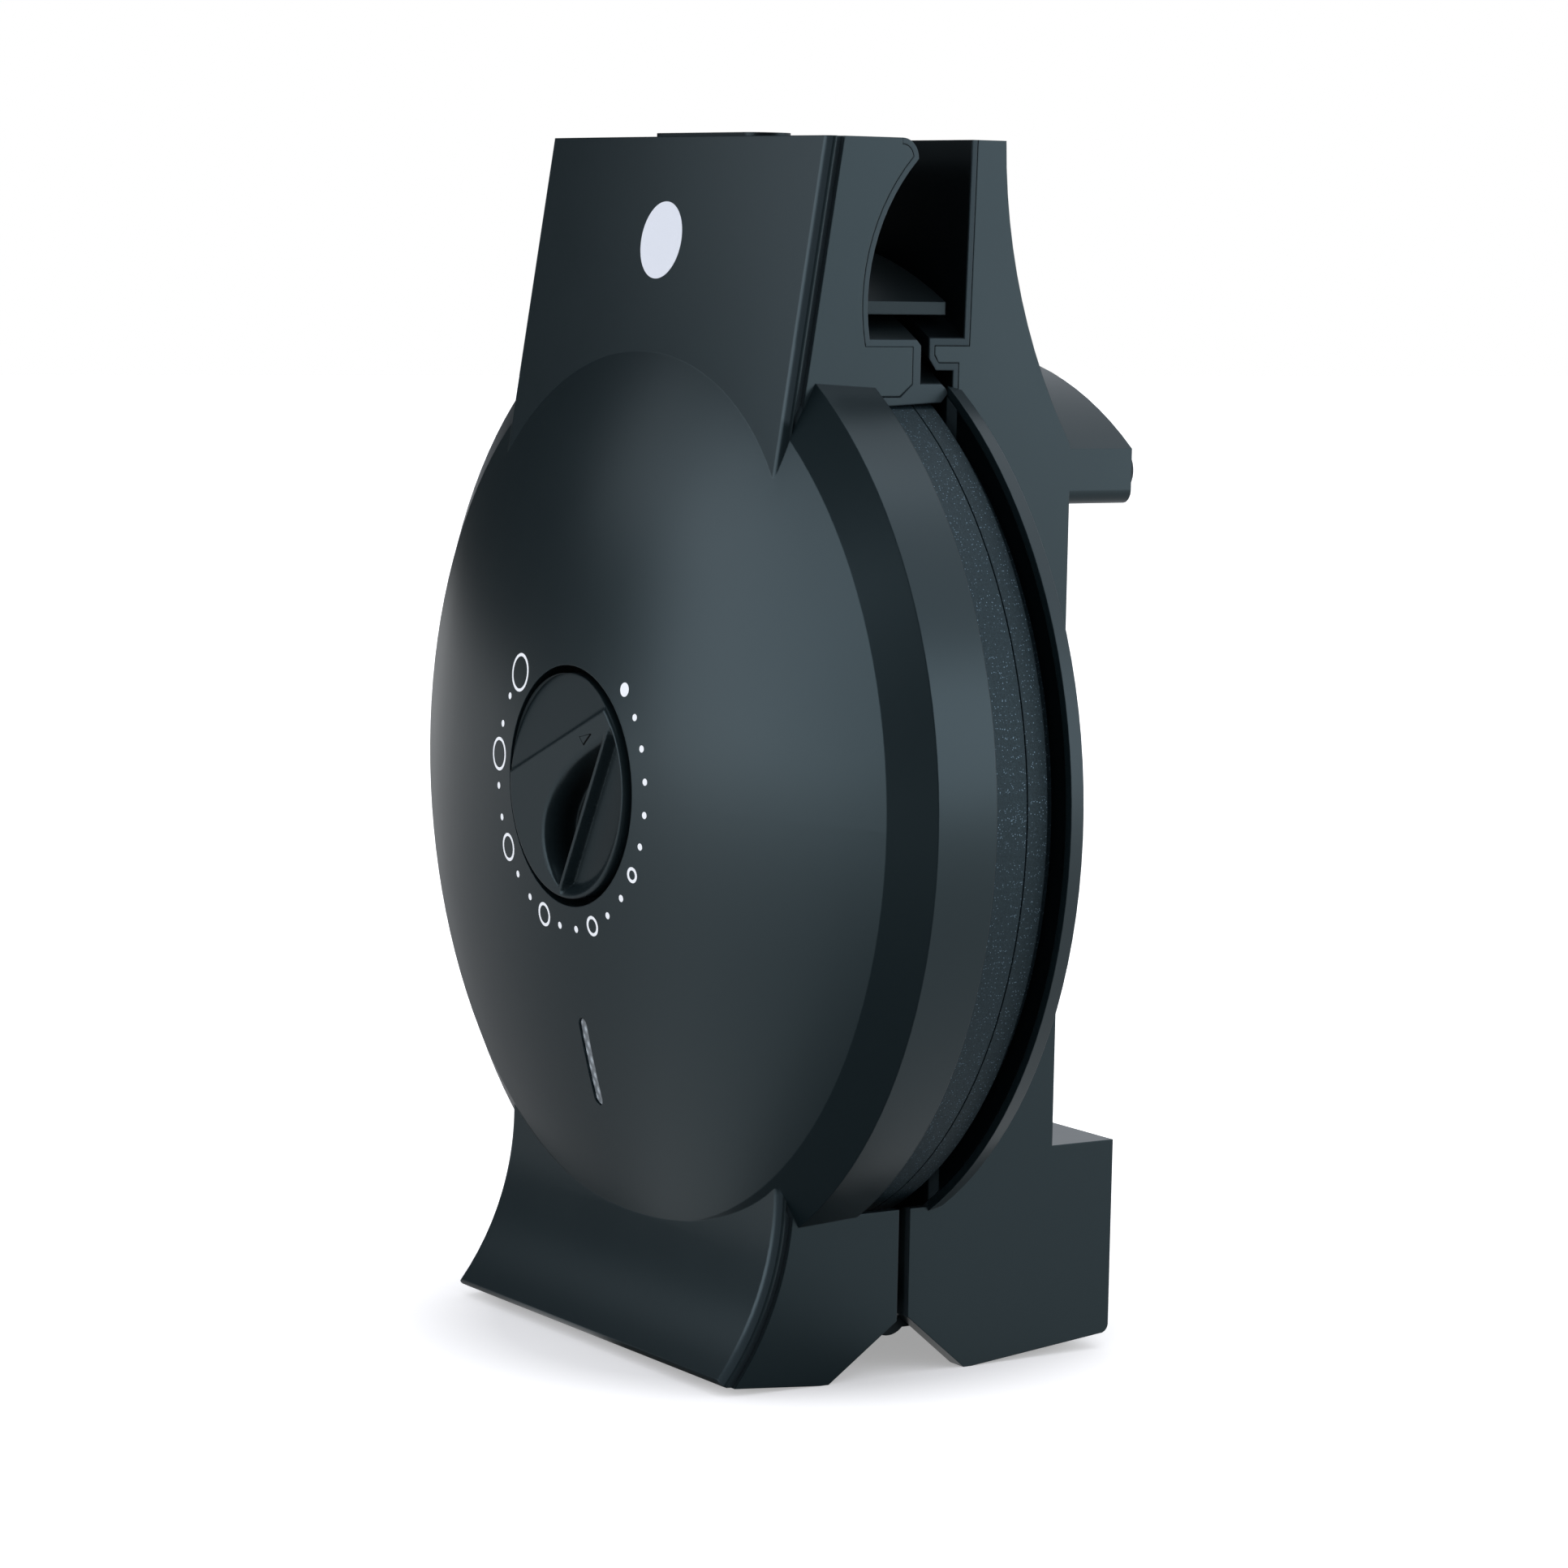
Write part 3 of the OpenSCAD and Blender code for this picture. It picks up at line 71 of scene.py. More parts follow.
class Tint(Enum):
    """Colours of the finishes and the studio, linear."""

    SHELL = (0.0055, 0.0105, 0.0125)
    # painted highlight: a lighter tint on the band along the shells' rounded front edges
    EDGE_HIGHLIGHT = (0.0220, 0.0310, 0.0355)
    # painted light: a lighter tint on the frames' outer side band, where their rims catch the
    # light
    FRAME_SIDE_LIGHT = (0.0260, 0.0370, 0.0420)
    # painted shade: the base frame's inside darkened where shade falls between the halves
    FRAME_SHADE = (0.0014, 0.0024, 0.0030)
    GUARD = (0.0045, 0.0070, 0.0080)
    KNOB = (0.0060, 0.0110, 0.0130)
    # painted shade: the darker tint deep in the knob's pocket
    HOLLOW_SHADE = (0.0012, 0.0022, 0.0026)
    GLAND = (0.0050, 0.0075, 0.0090)
    COATING = (0.0085, 0.0175, 0.0230)
    FLAKE = (0.1700, 0.2500, 0.3100)
    RUBBER = (0.0100, 0.0140, 0.0160)
    SHEEN = (0.68, 0.92, 1.0)
    INK = (0.93, 0.94, 0.95)
    BADGE = (0.74, 0.76, 0.81)
    LENS = (0.34, 0.38, 0.40)
    FLOOR = (0.74, 0.72, 0.72)
    DAYLIGHT = (0.94, 0.98, 1.05)


# Node trees


@dataclass(frozen=True)
class Wiring:
    """Places and wires the nodes of one node tree."""

    tree: NodeTree

    def add(self, kind: str, feeds: dict | None = None, **settings) -> Node:
        """Adds a node, sets its properties and feeds its sockets.

        Args:
            kind: the node's type without the prefix "ShaderNode".
            feeds: socket name or place, to a value or to the output that feeds it.
            **settings: properties of the node.

        Returns:
            The new node.
        """
        node = self.tree.nodes.new("ShaderNode" + kind)
        for name, value in settings.items():
            setattr(node, name, value)
        self.feed(node, feeds or {})
        return node

    def feed(self, node: Node, feeds: dict) -> None:
        """Links or sets a node's inputs.

        Args:
            node: the node.
            feeds: socket name or place, to a value or to the output that feeds it.
        """
        for name, value in feeds.items():
            socket = node.inputs[name]
            if isinstance(value, NodeSocket):
                self.tree.links.new(value, socket)
            else:
                socket.default_value = value

    def feed_named(self, node: Node, **feeds) -> None:
        """Links or sets a node's inputs, named with underscores for spaces."""
        self.feed(node, {name.replace("_", " "): value for name, value in feeds.items()})

    def group(self, tree: NodeTree, **feeds) -> NodeOutputs:
        """Adds a shared effect.

        Args:
            tree: the effect's group.
            **feeds: input names, with underscores for spaces, to values or outputs.

        Returns:
            What the effect gives.
        """
        node = self.add("Group", node_tree=tree)
        self.feed_named(node, **feeds)
        return node.outputs

    def math(self, operation: str, first, second=0.0, clamp: bool = False) -> NodeSocket:
        """Adds a Math node.

        Args:
            operation: the operation's name.
            first: a value or an output.
            second: a value or an output.
            clamp: whether the result is held between 0 and 1.

        Returns:
            The result's output.
        """
        node = self.add("Math", {0: first, 1: second}, operation=operation, use_clamp=clamp)
        return node.outputs[0]

    def blend(self, share, low, high) -> NodeSocket:
        """Mixes two colours.

        Args:
            share: how much of the second, a value or an output.
            low: the first colour or output.
            high: the second colour or output.

        Returns:
            The mixed colour's output.
        """
        return self.add("Mix", {0: share, 6: low, 7: high}, data_type="RGBA").outputs[2]

    def times(self, first, second) -> NodeSocket:
        """Multiplies two values or outputs."""
        return self.math("MULTIPLY", first, second)

    def noise(self, place, scale, detail: float = 2.0, rough: float = 0.5) -> NodeSocket:
        """Adds a noise texture.

        Args:
            place: the output that gives the place.
            scale: its scale, a value or an output.
            detail: its detail.
            rough: its roughness.

        Returns:
            The noise's output.
        """
        feeds = {"Vector": place, "Scale": scale, "Detail": detail, "Roughness": rough}
        return self.add("TexNoise", feeds).outputs[0]

    def scale(self, colour, level) -> NodeSocket:
        """Makes a colour lighter or darker by an output's value."""
        return self.add("VectorMath", {0: colour, "Scale": level}, operation="SCALE").outputs[0]

    def cosine(self, first, second) -> NodeSocket:
        """Gives how far two unit vectors point the same way."""
        node = self.add("VectorMath", {0: first, 1: second}, operation="DOT_PRODUCT")
        return node.outputs["Value"]

    def place(self) -> NodeSocket:
        """Gives the place on the object, in metres."""
        return self.add("TexCoord").outputs["Object"]

    def spread(self, value, low: float, high: float, out_low: float, out_high: float):
        """Maps one range of values to another, held at its ends.

        Args:
            value: the output that is mapped.
            low: start of its range.
            high: end of its range.
            out_low: result at the start.
            out_high: result at the end.

        Returns:
            The mapped value's output.
        """
        feeds = {0: value, 1: low, 2: high, 3: out_low, 4: out_high}
        return self.add("MapRange", feeds, clamp=True).outputs[0]


def opaque(colour: Colour, level: float = 1.0) -> tuple[float, float, float, float]:
    """Gives a colour its fourth value, and makes it lighter or darker by a level."""
    return (*(c * level for c in colour), 1.0)


def shared_group(
    name: str, inputs: dict[str, float | None], outputs: dict[str, str]
) -> tuple[NodeTree, Wiring, NodeOutputs, Node]:
    """Makes an empty shader group with named sockets.

    Args:
        name: the group's name.
        inputs: each input's name and its number, or None for a colour.
        outputs: each output's name and kind.

    Returns:
        The group, its wiring, what its inputs give, and its output node.
    """
    tree = bpy.data.node_groups.new(name, "ShaderNodeTree")
    for label, value in inputs.items():
        kind = "NodeSocketColor" if value is None else "NodeSocketFloat"
        made = tree.interface.new_socket(name=label, in_out="INPUT", socket_type=kind)
        if value is not None:
            made.default_value = value
    for label, kind in outputs.items():
        tree.interface.new_socket(name=label, in_out="OUTPUT", socket_type="NodeSocket" + kind)
    given = tree.nodes.new("NodeGroupInput").outputs
    return tree, Wiring(tree), given, tree.nodes.new("NodeGroupOutput")


def relief(w: Wiring, given: NodeOutputs, height: NodeSocket) -> tuple[NodeSocket, NodeSocket]:
    """Softens a surface's edges and raises a grain on it.

    Args:
        w: the group's wiring.
        given: what the group's inputs give. Edge radius and grain depth are in millimetres.
        height: the grain.

    Returns:
        The normal with soft edges alone, and the one with the grain too.
    """
    radius = w.times(given["Edge radius"], MM)
    rounded = w.add("Bevel", {"Radius": radius}, samples=4).outputs[0]
    depth = w.times(given["Grain depth"], MM)
    feeds = {"Strength": 1.0, "Distance": depth, "Height": height, "Normal": rounded}
    return rounded, w.add("Bump", feeds).outputs[0]


def moulded_skin() -> NodeTree:
    """Builds the spark-eroded grain of a moulding, with its edges softened.

    Returns:
        The group.
    """
    tree, w, given, end = shared_group(
        "moulded_skin",
        {"Grain size": 0.3, "Grain depth": 0.01, "Edge radius": 0.3},
        {"Normal": "Vector", "Edge": "Float"},
    )
    place = w.place()
    per_metre = w.math("DIVIDE", 1000.0, given["Grain size"])
    fine = w.noise(place, per_metre, 2.0, 0.6)
    feeds = {"Vector": place, "Scale": w.times(per_metre, 0.6)}
    pits = w.add("TexVoronoi", feeds, feature="SMOOTH_F1").outputs["Distance"]
    grain = w.math("ADD", w.times(fine, 0.6), w.times(pits, 0.4))
    rounded, normal = relief(w, given, grain)
    facing = w.cosine(rounded, w.add("NewGeometry").outputs["Normal"])
    w.feed(end, {"Normal": normal, "Edge": w.spread(facing, 0.985, 0.80, 0.0, 1.0)})
    return tree


def handling_film() -> NodeTree:
    """Builds the faint cloudiness of a handled soft-touch surface.

    Returns:
        The group.
    """
    tree, w, given, end = shared_group(
        "handling_film",
        {
            "Base": None,
            "Cloud share": 0.06,
            "Roughness": 0.5,
            "Roughness spread": 0.04,
            "Edge": 0.0,
            "Edge lift": 0.25,
        },
        {"Color": "Color", "Roughness": "Float"},
    )
    place = w.place()
    cloud = w.noise(place, 28.0, 4.0, 0.55)
    specks = w.noise(place, 2600.0, 1.0)
    wave = w.times(w.math("SUBTRACT", cloud, 0.5), 2.0)
    dots = w.times(w.math("SUBTRACT", specks, 0.5), 1.2)
    clouding = w.times(w.math("ADD", wave, dots), given["Cloud share"])
    # edges are lifted lighter, partly as rubbed wear and partly as a painted highlight on rounded
    # edges
    lift = w.times(given["Edge"], given["Edge lift"])
    level = w.math("ADD", w.math("ADD", 1.0, clouding), lift)
    uneven = w.times(wave, given["Roughness spread"])
    rough = w.math("ADD", given["Roughness"], uneven, clamp=True)
    w.feed(end, {"Color": w.scale(given["Base"], level), "Roughness": rough})
    return tree


def coating_speckle() -> NodeTree:
    """Builds the granular surface of a sprayed non-stick coating with mineral flakes.

    Returns:
        The group.
    """
    tree, w, given, end = shared_group(
        "coating_speckle",
        {
            "Base": None,
            "Flake color": None,
            "Grain size": 0.45,
            "Grain depth": 0.05,
            "Edge radius": 0.2,
        },
        {"Color": "Color", "Roughness": "Float", "Normal": "Vector", "Flake": "Float"},
    )
    place = w.place()
    per_metre = w.math("DIVIDE", 1000.0, given["Grain size"])
    grains = w.noise(place, per_metre, 3.0, 0.7)
    flakes = w.add("TexVoronoi", {"Vector": place, "Scale": w.times(per_metre, 0.9)})
    chosen = w.add("SeparateColor", {0: flakes.outputs["Color"]}).outputs[0]
    near = w.spread(flakes.outputs["Distance"], 0.42, 0.22, 0.0, 1.0)
    flake = w.times(w.spread(chosen, 0.80, 0.92, 0.0, 1.0), near)
    dark = w.scale(given["Base"], w.spread(grains, 0.3, 0.7, 0.55, 1.45))
    colour = w.blend(flake, dark, given["Flake color"])
    matt = w.spread(grains, 0.3, 0.7, 0.62, 0.46)
    rough = w.math("SUBTRACT", matt, w.times(flake, 0.2))
    _, normal = relief(w, given, w.math("ADD", grains, w.times(flake, 0.4)))
    w.feed(end, {"Color": colour, "Roughness": rough, "Normal": normal, "Flake": flake})
    return tree


def drawn_metal() -> NodeTree:
    """Builds the lines of drawn or turned metal, with a stain.

    Returns:
        The group.
    """
    tree, w, given, end = shared_group(
        "drawn_metal",
        {"Base": None, "Stain": None, "Stain share": 0.3, "Roughness": 0.35},
        {"Color": "Color", "Roughness": "Float", "Normal": "Vector"},
    )
    place = w.place()
    stretched = w.add("Mapping", {"Vector": place, "Scale": (220.0, 5200.0, 900.0)})
    lines = w.noise(stretched.outputs[0], 1.0, 3.0)
    blotch = w.noise(place, 90.0, 5.0)
    share = w.times(w.spread(blotch, 0.42, 0.7, 0.0, 1.0), given["Stain share"])
    metal = w.scale(given["Base"], w.spread(lines, 0.3, 0.7, 0.88, 1.1))
    uneven = w.spread(lines, 0.3, 0.7, -0.05, 0.08)
    rough = w.math("ADD", given["Roughness"], uneven, clamp=True)
    bump = w.add("Bump", {"Strength": 0.4, "Distance": 0.00001, "Height": lines})
    colour = w.blend(share, metal, given["Stain"])
    w.feed(end, {"Color": colour, "Roughness": rough, "Normal": bump.outputs[0]})
    return tree


@dataclass(frozen=True)
class Effects:
    """The effects that several finishes share, each built once as a group."""

    moulded: NodeTree = field(default_factory=moulded_skin)
    film: NodeTree = field(default_factory=handling_film)
    speckle: NodeTree = field(default_factory=coating_speckle)
    drawn: NodeTree = field(default_factory=drawn_metal)


# Finishes


def fresh_material(name: str) -> tuple[Material, Wiring, Node]:
    """Makes a material with one Principled shader.

    Args:
        name: the material's name.

    Returns:
        The material, its wiring and the shader.
    """
    material = bpy.data.materials.new(name)
    material.use_nodes = True
    tree = material.node_tree
    tree.nodes.clear()
    wiring = Wiring(tree)
    shader = wiring.add("BsdfPrincipled")
    wiring.add("OutputMaterial", {"Surface": shader.outputs[0]})
    return material, wiring, shader


def coat(wiring: Wiring, shader: Node, effect: NodeOutputs, **feeds) -> None:
    """Feeds a shader its colour and roughness from a shared effect, and its other inputs.

    Args:
        wiring: the material's wiring.
        shader: the material's shader.
        effect: what the shared effect gives.
        **feeds: other input names, with underscores for spaces, to values or outputs.
    """
    colour, rough = effect["Color"], effect["Roughness"]
    wiring.feed_named(shader, Base_Color=colour, Roughness=rough, **feeds)


@dataclass(frozen=True)
class Finish:
    """One material, wired from the shared effects."""

    name: str

    def wire(self, w: Wiring, shader: Node, effects: Effects) -> None:
        """Wires the material. Each kind of finish has its own way.

        Args:
            w: the material's wiring.
            shader: the material's shader.
            effects: the shared groups.
        """
        raise NotImplementedError

    def build(self, effects: Effects) -> Material:
        """Builds the material.

        Args:
            effects: the shared groups.

        Returns:
            The material.
        """
        material, w, shader = fresh_material(self.name)
        self.wire(w, shader, effects)
        return material


@dataclass(frozen=True)
class MouldedPlastic(Finish):
    """Grained moulded plastic or rubber.

    The side light is painted light: a lighter tint on a band of places across, from side_from to
    side_to, at least side_clear away from the round parts' axis, which fades over the widths named
    soft. The hollow tint is painted shade: it lies behind hollow_from and is full at hollow_to.
    """

    tint: Colour
    roughness: float = 0.3
    spread: float = 0.03
    grain_size: float = 0.32
    grain_depth: float = 0.003
    edge_radius: float = 0.35
    edge_lift: float = 0.35
    cloud: float = 0.05
    specular: float = 0.5
    sheen: float = 0.0
    side_light: Colour | None = None
    side_from: float = 54.5
    side_to: float = 56.36
    side_clear: float = 0.0
    inner_soft: float = 0.5
    outer_soft: float = 0.08
    clear_soft: float = 1.0
    axis_z: float = AXIS_Z
    hollow_shade: Colour | None = None
    hollow_from: float = -53.2
    hollow_to: float = -50.0

    def _base(self, w: Wiring):
        """Gives the base colour, with painted shade in the hollows or painted light on the side
        band.

        Args:
            w: the material's wiring.

        Returns:
            A colour, or the output that carries it.
        """
        if self.side_light is None and self.hollow_shade is None:
            return opaque(self.tint)
        place = w.add("SeparateXYZ", {0: w.place()}).outputs
        if self.hollow_shade is not None:
            # painted shade: the colour darkens with depth into the knob's pocket
            deep = w.spread(place["Y"], self.hollow_from * MM, self.hollow_to * MM, 0.0, 1.0)
            return w.blend(deep, opaque(self.tint), opaque(self.hollow_shade))
        across = w.math("ABSOLUTE", place["X"])
        inner_to = self.side_from + self.inner_soft
        inner = w.spread(across, self.side_from * MM, inner_to * MM, 0.0, 1.0)
        outer_from = self.side_to - self.outer_soft
        outer = w.spread(across, outer_from * MM, self.side_to * MM, 1.0, 0.0)
        up = w.math("SUBTRACT", place["Z"], self.axis_z * MM)
        across_square = w.times(place["X"], place["X"])
        reach = w.math("SQRT", w.math("ADD", across_square, w.times(up, up)))
        clear_from = self.side_clear - self.clear_soft
        clear = w.spread(reach, clear_from * MM, self.side_clear * MM, 0.0, 1.0)
        band = w.times(w.times(inner, outer), clear)
        return w.blend(band, opaque(self.tint), opaque(self.side_light))

    def wire(self, w: Wiring, shader: Node, effects: Effects) -> None:
        """Wires the material."""
        skin = w.group(
            effects.moulded,
            Grain_size=self.grain_size,
            Grain_depth=self.grain_depth,
            Edge_radius=self.edge_radius,
        )
        film = w.group(
            effects.film,
            Base=self._base(w),
            Cloud_share=self.cloud,
            Roughness=self.roughness,
            Roughness_spread=self.spread,
            Edge=skin["Edge"],
            Edge_lift=self.edge_lift,
        )
        coat(
            w,
            shader,
            film,
            Normal=skin["Normal"],
            Specular_IOR_Level=self.specular,
            Specular_Tint=opaque(Tint.SHEEN.value),
            Sheen_Weight=self.sheen,
        )


@dataclass(frozen=True)
class NonStickCoating(Finish):
    """Cast aluminium under a granular black coating."""

    tint: Colour
    flake: Colour = Tint.FLAKE.value
    grain_size: float = 0.42
    grain_depth: float = 0.05

    def wire(self, w: Wiring, shader: Node, effects: Effects) -> None:
        """Wires the material."""
        speckle = w.group(
            effects.speckle,
            Base=opaque(self.tint),
            Flake_color=opaque(self.flake),
            Grain_size=self.grain_size,
            Grain_depth=self.grain_depth,
        )
        coat(
            w,
            shader,
            speckle,
            Normal=speckle["Normal"],
            Metallic=speckle["Flake"],
            Specular_Tint=opaque(Tint.SHEEN.value),
        )


@dataclass(frozen=True)
class Metal(Finish):
    """Bare drawn, rolled or plated metal."""

    tint: Colour
    stain: Colour = (0.16, 0.13, 0.10)
    stain_share: float = 0.15
    roughness: float = 0.35

    def wire(self, w: Wiring, shader: Node, effects: Effects) -> None:
        """Wires the material."""
        drawn = w.group(
            effects.drawn,
            Base=opaque(self.tint),
            Stain=opaque(self.stain),
            Stain_share=self.stain_share,
            Roughness=self.roughness,
        )
        coat(w, shader, drawn, Normal=drawn["Normal"], Metallic=1.0)


@dataclass(frozen=True)
class FrostedLens(Finish):
    """Frosted polycarbonate with a fine diagonal knurl on its face."""

    name: str = "lens_frosted"
    tint: Colour = Tint.LENS.value
    knurl: float = 1.1

    def wire(self, w: Wiring, shader: Node, effects: Effects) -> None:
        """Wires the material."""
        place = w.place()
        heights = []
        for turn in (40.0, -40.0):
            rotation = (0.0, math.radians(turn), 0.0)
            turned = w.add("Mapping", {"Vector": place, "Rotation": rotation}).outputs[0]
            scale = 1000.0 / self.knurl / 2.0 / math.pi
            feeds = {"Vector": turned, "Scale": scale, "Distortion": 0.6}
            heights.append(w.add("TexWave", feeds, bands_direction="X").outputs["Fac"])
        knurl = w.times(*heights)
        film = w.group(
            effects.film,
            Base=w.blend(knurl, opaque(self.tint, 0.55), opaque(self.tint, 1.5)),
            Cloud_share=0.12,
            Roughness=0.34,
            Roughness_spread=0.08,
        )
        bump = w.add("Bump", {"Strength": 0.9, "Distance": 0.0002, "Height": knurl})
        coat(w, shader, film, Normal=bump.outputs[0], Transmission_Weight=0.15, IOR=1.58)


@dataclass(frozen=True)
class LampGlass(Finish):
    """Clear glass of the neon lamp, with a warm tint."""

    name: str = "lamp_glass"
    tint: Colour = (0.95, 0.84, 0.74)

    def wire(self, w: Wiring, shader: Node, effects: Effects) -> None:
        """Wires the material."""
        film = w.group(
            effects.film,
            Base=opaque(self.tint),
            Cloud_share=0.03,
            Roughness=0.05,
            Roughness_spread=0.02,
        )
        coat(w, shader, film, Transmission_Weight=1.0, IOR=1.5)


@dataclass(frozen=True)
class PrintedInk(Finish):
    """Screen-printed ink with a slightly uneven lay."""

    tint: Colour
    roughness: float = 0.5
    specular: float = 0.5

    def wire(self, w: Wiring, shader: Node, effects: Effects) -> None:
        """Wires the material."""
        film = w.group(
            effects.film,
            Base=opaque(self.tint),
            Cloud_share=0.03,
            Roughness=self.roughness,
            Roughness_spread=0.05,
        )
        lay = w.noise(w.place(), 3000.0)
        bump = w.add("Bump", {"Strength": 0.3, "Distance": 0.00001, "Height": lay})
        coat(w, shader, film, Normal=bump.outputs[0], Specular_IOR_Level=self.specular)


# the frames' outer side band carries painted light, in a lighter tint than their inside
FRAME_LIT_SIDES = {"side_light": Tint.FRAME_SIDE_LIGHT.value, "side_from": 55.9, "side_to": 60.0}
FINISHES: tuple[Finish, ...] = (
    # the shells carry a painted highlight on the band along their rounded front edges, off the
    # dome
    MouldedPlastic(
        "shell_soft_touch", Tint.SHELL.value, side_light=Tint.EDGE_HIGHLIGHT.value, side_clear=98.0
    ),
    # the base frame's inside is darkened as painted shade, and its outer side band lightened
    MouldedPlastic(
        "frame_soft_touch", Tint.FRAME_SHADE.value, roughness=0.31, specular=0.22, **FRAME_LIT_SIDES
    ),
    MouldedPlastic(
        "guard_soft_touch",
        Tint.GUARD.value,
        roughness=0.38,
        grain_depth=0.006,
        specular=0.4,
        **FRAME_LIT_SIDES,
    ),
    # the knob's pocket carries painted shade, darker with depth
    MouldedPlastic(
        "knob_soft_touch",
        Tint.KNOB.value,
        roughness=0.36,
        grain_size=0.25,
        grain_depth=0.004,
        edge_radius=0.4,
        hollow_shade=Tint.HOLLOW_SHADE.value,
    ),
    MouldedPlastic("gland_plastic", Tint.GLAND.value, roughness=0.42, edge_radius=0.2),
    MouldedPlastic(
        "pad_rubber",
        Tint.RUBBER.value,
        roughness=0.72,
        grain_size=0.5,
        grain_depth=0.02,
        edge_radius=0.3,
        specular=0.35,
        sheen=0.1,
    ),
    NonStickCoating("upper_coating", Tint.COATING.value, grain_size=0.3),
    NonStickCoating(
        "lower_coating", tuple(c * 0.85 for c in Tint.COATING.value), grain_size=0.32
    ),
    Metal("heater_tube", (0.42, 0.38, 0.34), (0.12, 0.09, 0.10), 0.6, roughness=0.42),
    Metal("shield_sheet", (0.86, 0.86, 0.85), stain_share=0.08, roughness=0.3),
    Metal("screw_zinc", (0.62, 0.62, 0.60), stain=(0.4, 0.37, 0.3), roughness=0.36),
    Metal("pin_steel", (0.60, 0.60, 0.61), stain_share=0.05, roughness=0.24),
    FrostedLens(),
    LampGlass(),
    MouldedPlastic(
        "steatite",
        (0.62, 0.58, 0.50),
        roughness=0.66,
        grain_size=0.6,
        grain_depth=0.02,
        cloud=0.08,
        edge_lift=0.06,
    ),
    MouldedPlastic("terminal_nylon", (0.58, 0.55, 0.47), roughness=0.5, edge_lift=0.05),
    MouldedPlastic(
        "silicone_sleeve",
        (0.34, 0.045, 0.035),
        roughness=0.6,
        grain_size=0.35,
        grain_depth=0.03,
        edge_lift=0.0,
        cloud=0.12,
    ),
    PrintedInk("scale_ink", Tint.INK.value),
    PrintedInk("badge_enamel", Tint.BADGE.value, roughness=0.42),
    # painted shade: the near-black, nearly glossless tint of the pointer's sunk lines
    PrintedInk("pointer_shade", (0.001, 0.0015, 0.0018), roughness=0.7, specular=0.05),
)


@dataclass
class FinishSet:
    """The built materials of all finishes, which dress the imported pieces."""

    effects: Effects
    made: dict[str, Material] = field(default_factory=dict)

    def build(self) -> None:
        """Builds every finish."""
        for finish in FINISHES:
            self.made[finish.name] = finish.build(self.effects)
            log.info("finish %s", finish.name)

    def dress(self, finishes_of: dict[str, str]) -> None:
        """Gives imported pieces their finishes.

        Args:
            finishes_of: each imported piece's name, and its finish's name.
        """
        for node, finish in finishes_of.items():
            piece = NODES[node]
            if not piece.material_slots:
                piece.data.materials.append(self.made[finish])
            for place in piece.material_slots:
                place.material = self.made[finish]
            log.info("%s in %s", node, finish)


# Modelling


def deselect() -> None:
    """Deselects every piece, so that the next step works on its own piece only."""
    bpy.ops.object.select_all(action="DESELECT")


def settle(piece: Object, name: str) -> Object:
    """Names a piece and puts its place into its mesh.

    Args:
        piece: the finished object.
        name: its name.

    Returns:
        The same object, at the origin.
    """
    piece.name = name
    piece.data.name = name
    deselect()
    piece.select_set(True)
    bpy.context.view_layer.objects.active = piece
    bpy.ops.object.transform_apply(location=True, rotation=True, scale=True)
    return piece


def joined(pieces: list[Object]) -> Object:
    """Joins two or more meshes into the first of them."""
    deselect()
    for piece in pieces:
        piece.select_set(True)
    bpy.context.view_layer.objects.active = pieces[0]
    bpy.ops.object.join()
    return bpy.context.view_layer.objects.active


def flat_plate(corners: int, radius: float, x: float, z: float) -> Object:
    """Starts a flat round plate that faces the front, and opens it for editing.

    Args:
        corners: how many corners its outline has.
        radius: its radius, in millimetres.
        x: its place across, in millimetres.
        z: its height, in millimetres.

    Returns:
        The plate, in edit mode with everything selected.
    """
    deselect()
    bpy.ops.mesh.primitive_circle_add(
        vertices=corners,
        radius=radius * MM,
        fill_type="NGON",
        location=(x * MM, PRINT_Y * MM, z * MM),
        rotation=(math.pi / 2, 0.0, 0.0),
    )
    plate = bpy.context.object
    bpy.ops.object.mode_set(mode="EDIT")
    bpy.ops.mesh.select_all(action="SELECT")
    return plate


def close_edit() -> None:
    """Turns the faces of the piece in edit mode outwards, and leaves edit mode."""
    bpy.ops.mesh.select_all(action="SELECT")
    bpy.ops.mesh.normals_make_consistent(inside=False)
    bpy.ops.object.mode_set(mode="OBJECT")


def thicken(step: float) -> None:
    """Gives the plate in edit mode its thickness, closes it and leaves edit mode.

    Args:
        step: how far behind the first face the second one lies, in millimetres.
    """
    bpy.ops.mesh.select_all(action="SELECT")
    bpy.ops.mesh.extrude_region_move(TRANSFORM_OT_translate={"value": (0.0, step * MM, 0.0)})
    close_edit()


@dataclass(frozen=True)
class Print:
    """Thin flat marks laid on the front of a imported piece."""

    node: str
    lift: float
    sink: float = 0.05
    start_y: float = -200.0

    def lay(self, piece: Object) -> None:
        """Presses a flat mark's two faces onto the surface behind it.

        Points in front of the mark's middle plane go to the lift, and the rest just under the
        surface, so that the mark is closed.

        Args:
            piece: a mark that stands in the XZ plane, in front of the surface.
        """
        target = NODES[self.node]
        middle = sum(v.co.y for v in piece.data.vertices) / len(piece.data.vertices)
        for v in piece.data.vertices:
            origin = Vector((v.co.x, self.start_y * MM, v.co.z))
            hit, place, _, _ = target.ray_cast(origin, Vector((0.0, 1.0, 0.0)))
            if hit:
                step = -self.lift if v.co.y < middle else self.sink
                v.co.y = place.y + step * MM
        piece.data.update()


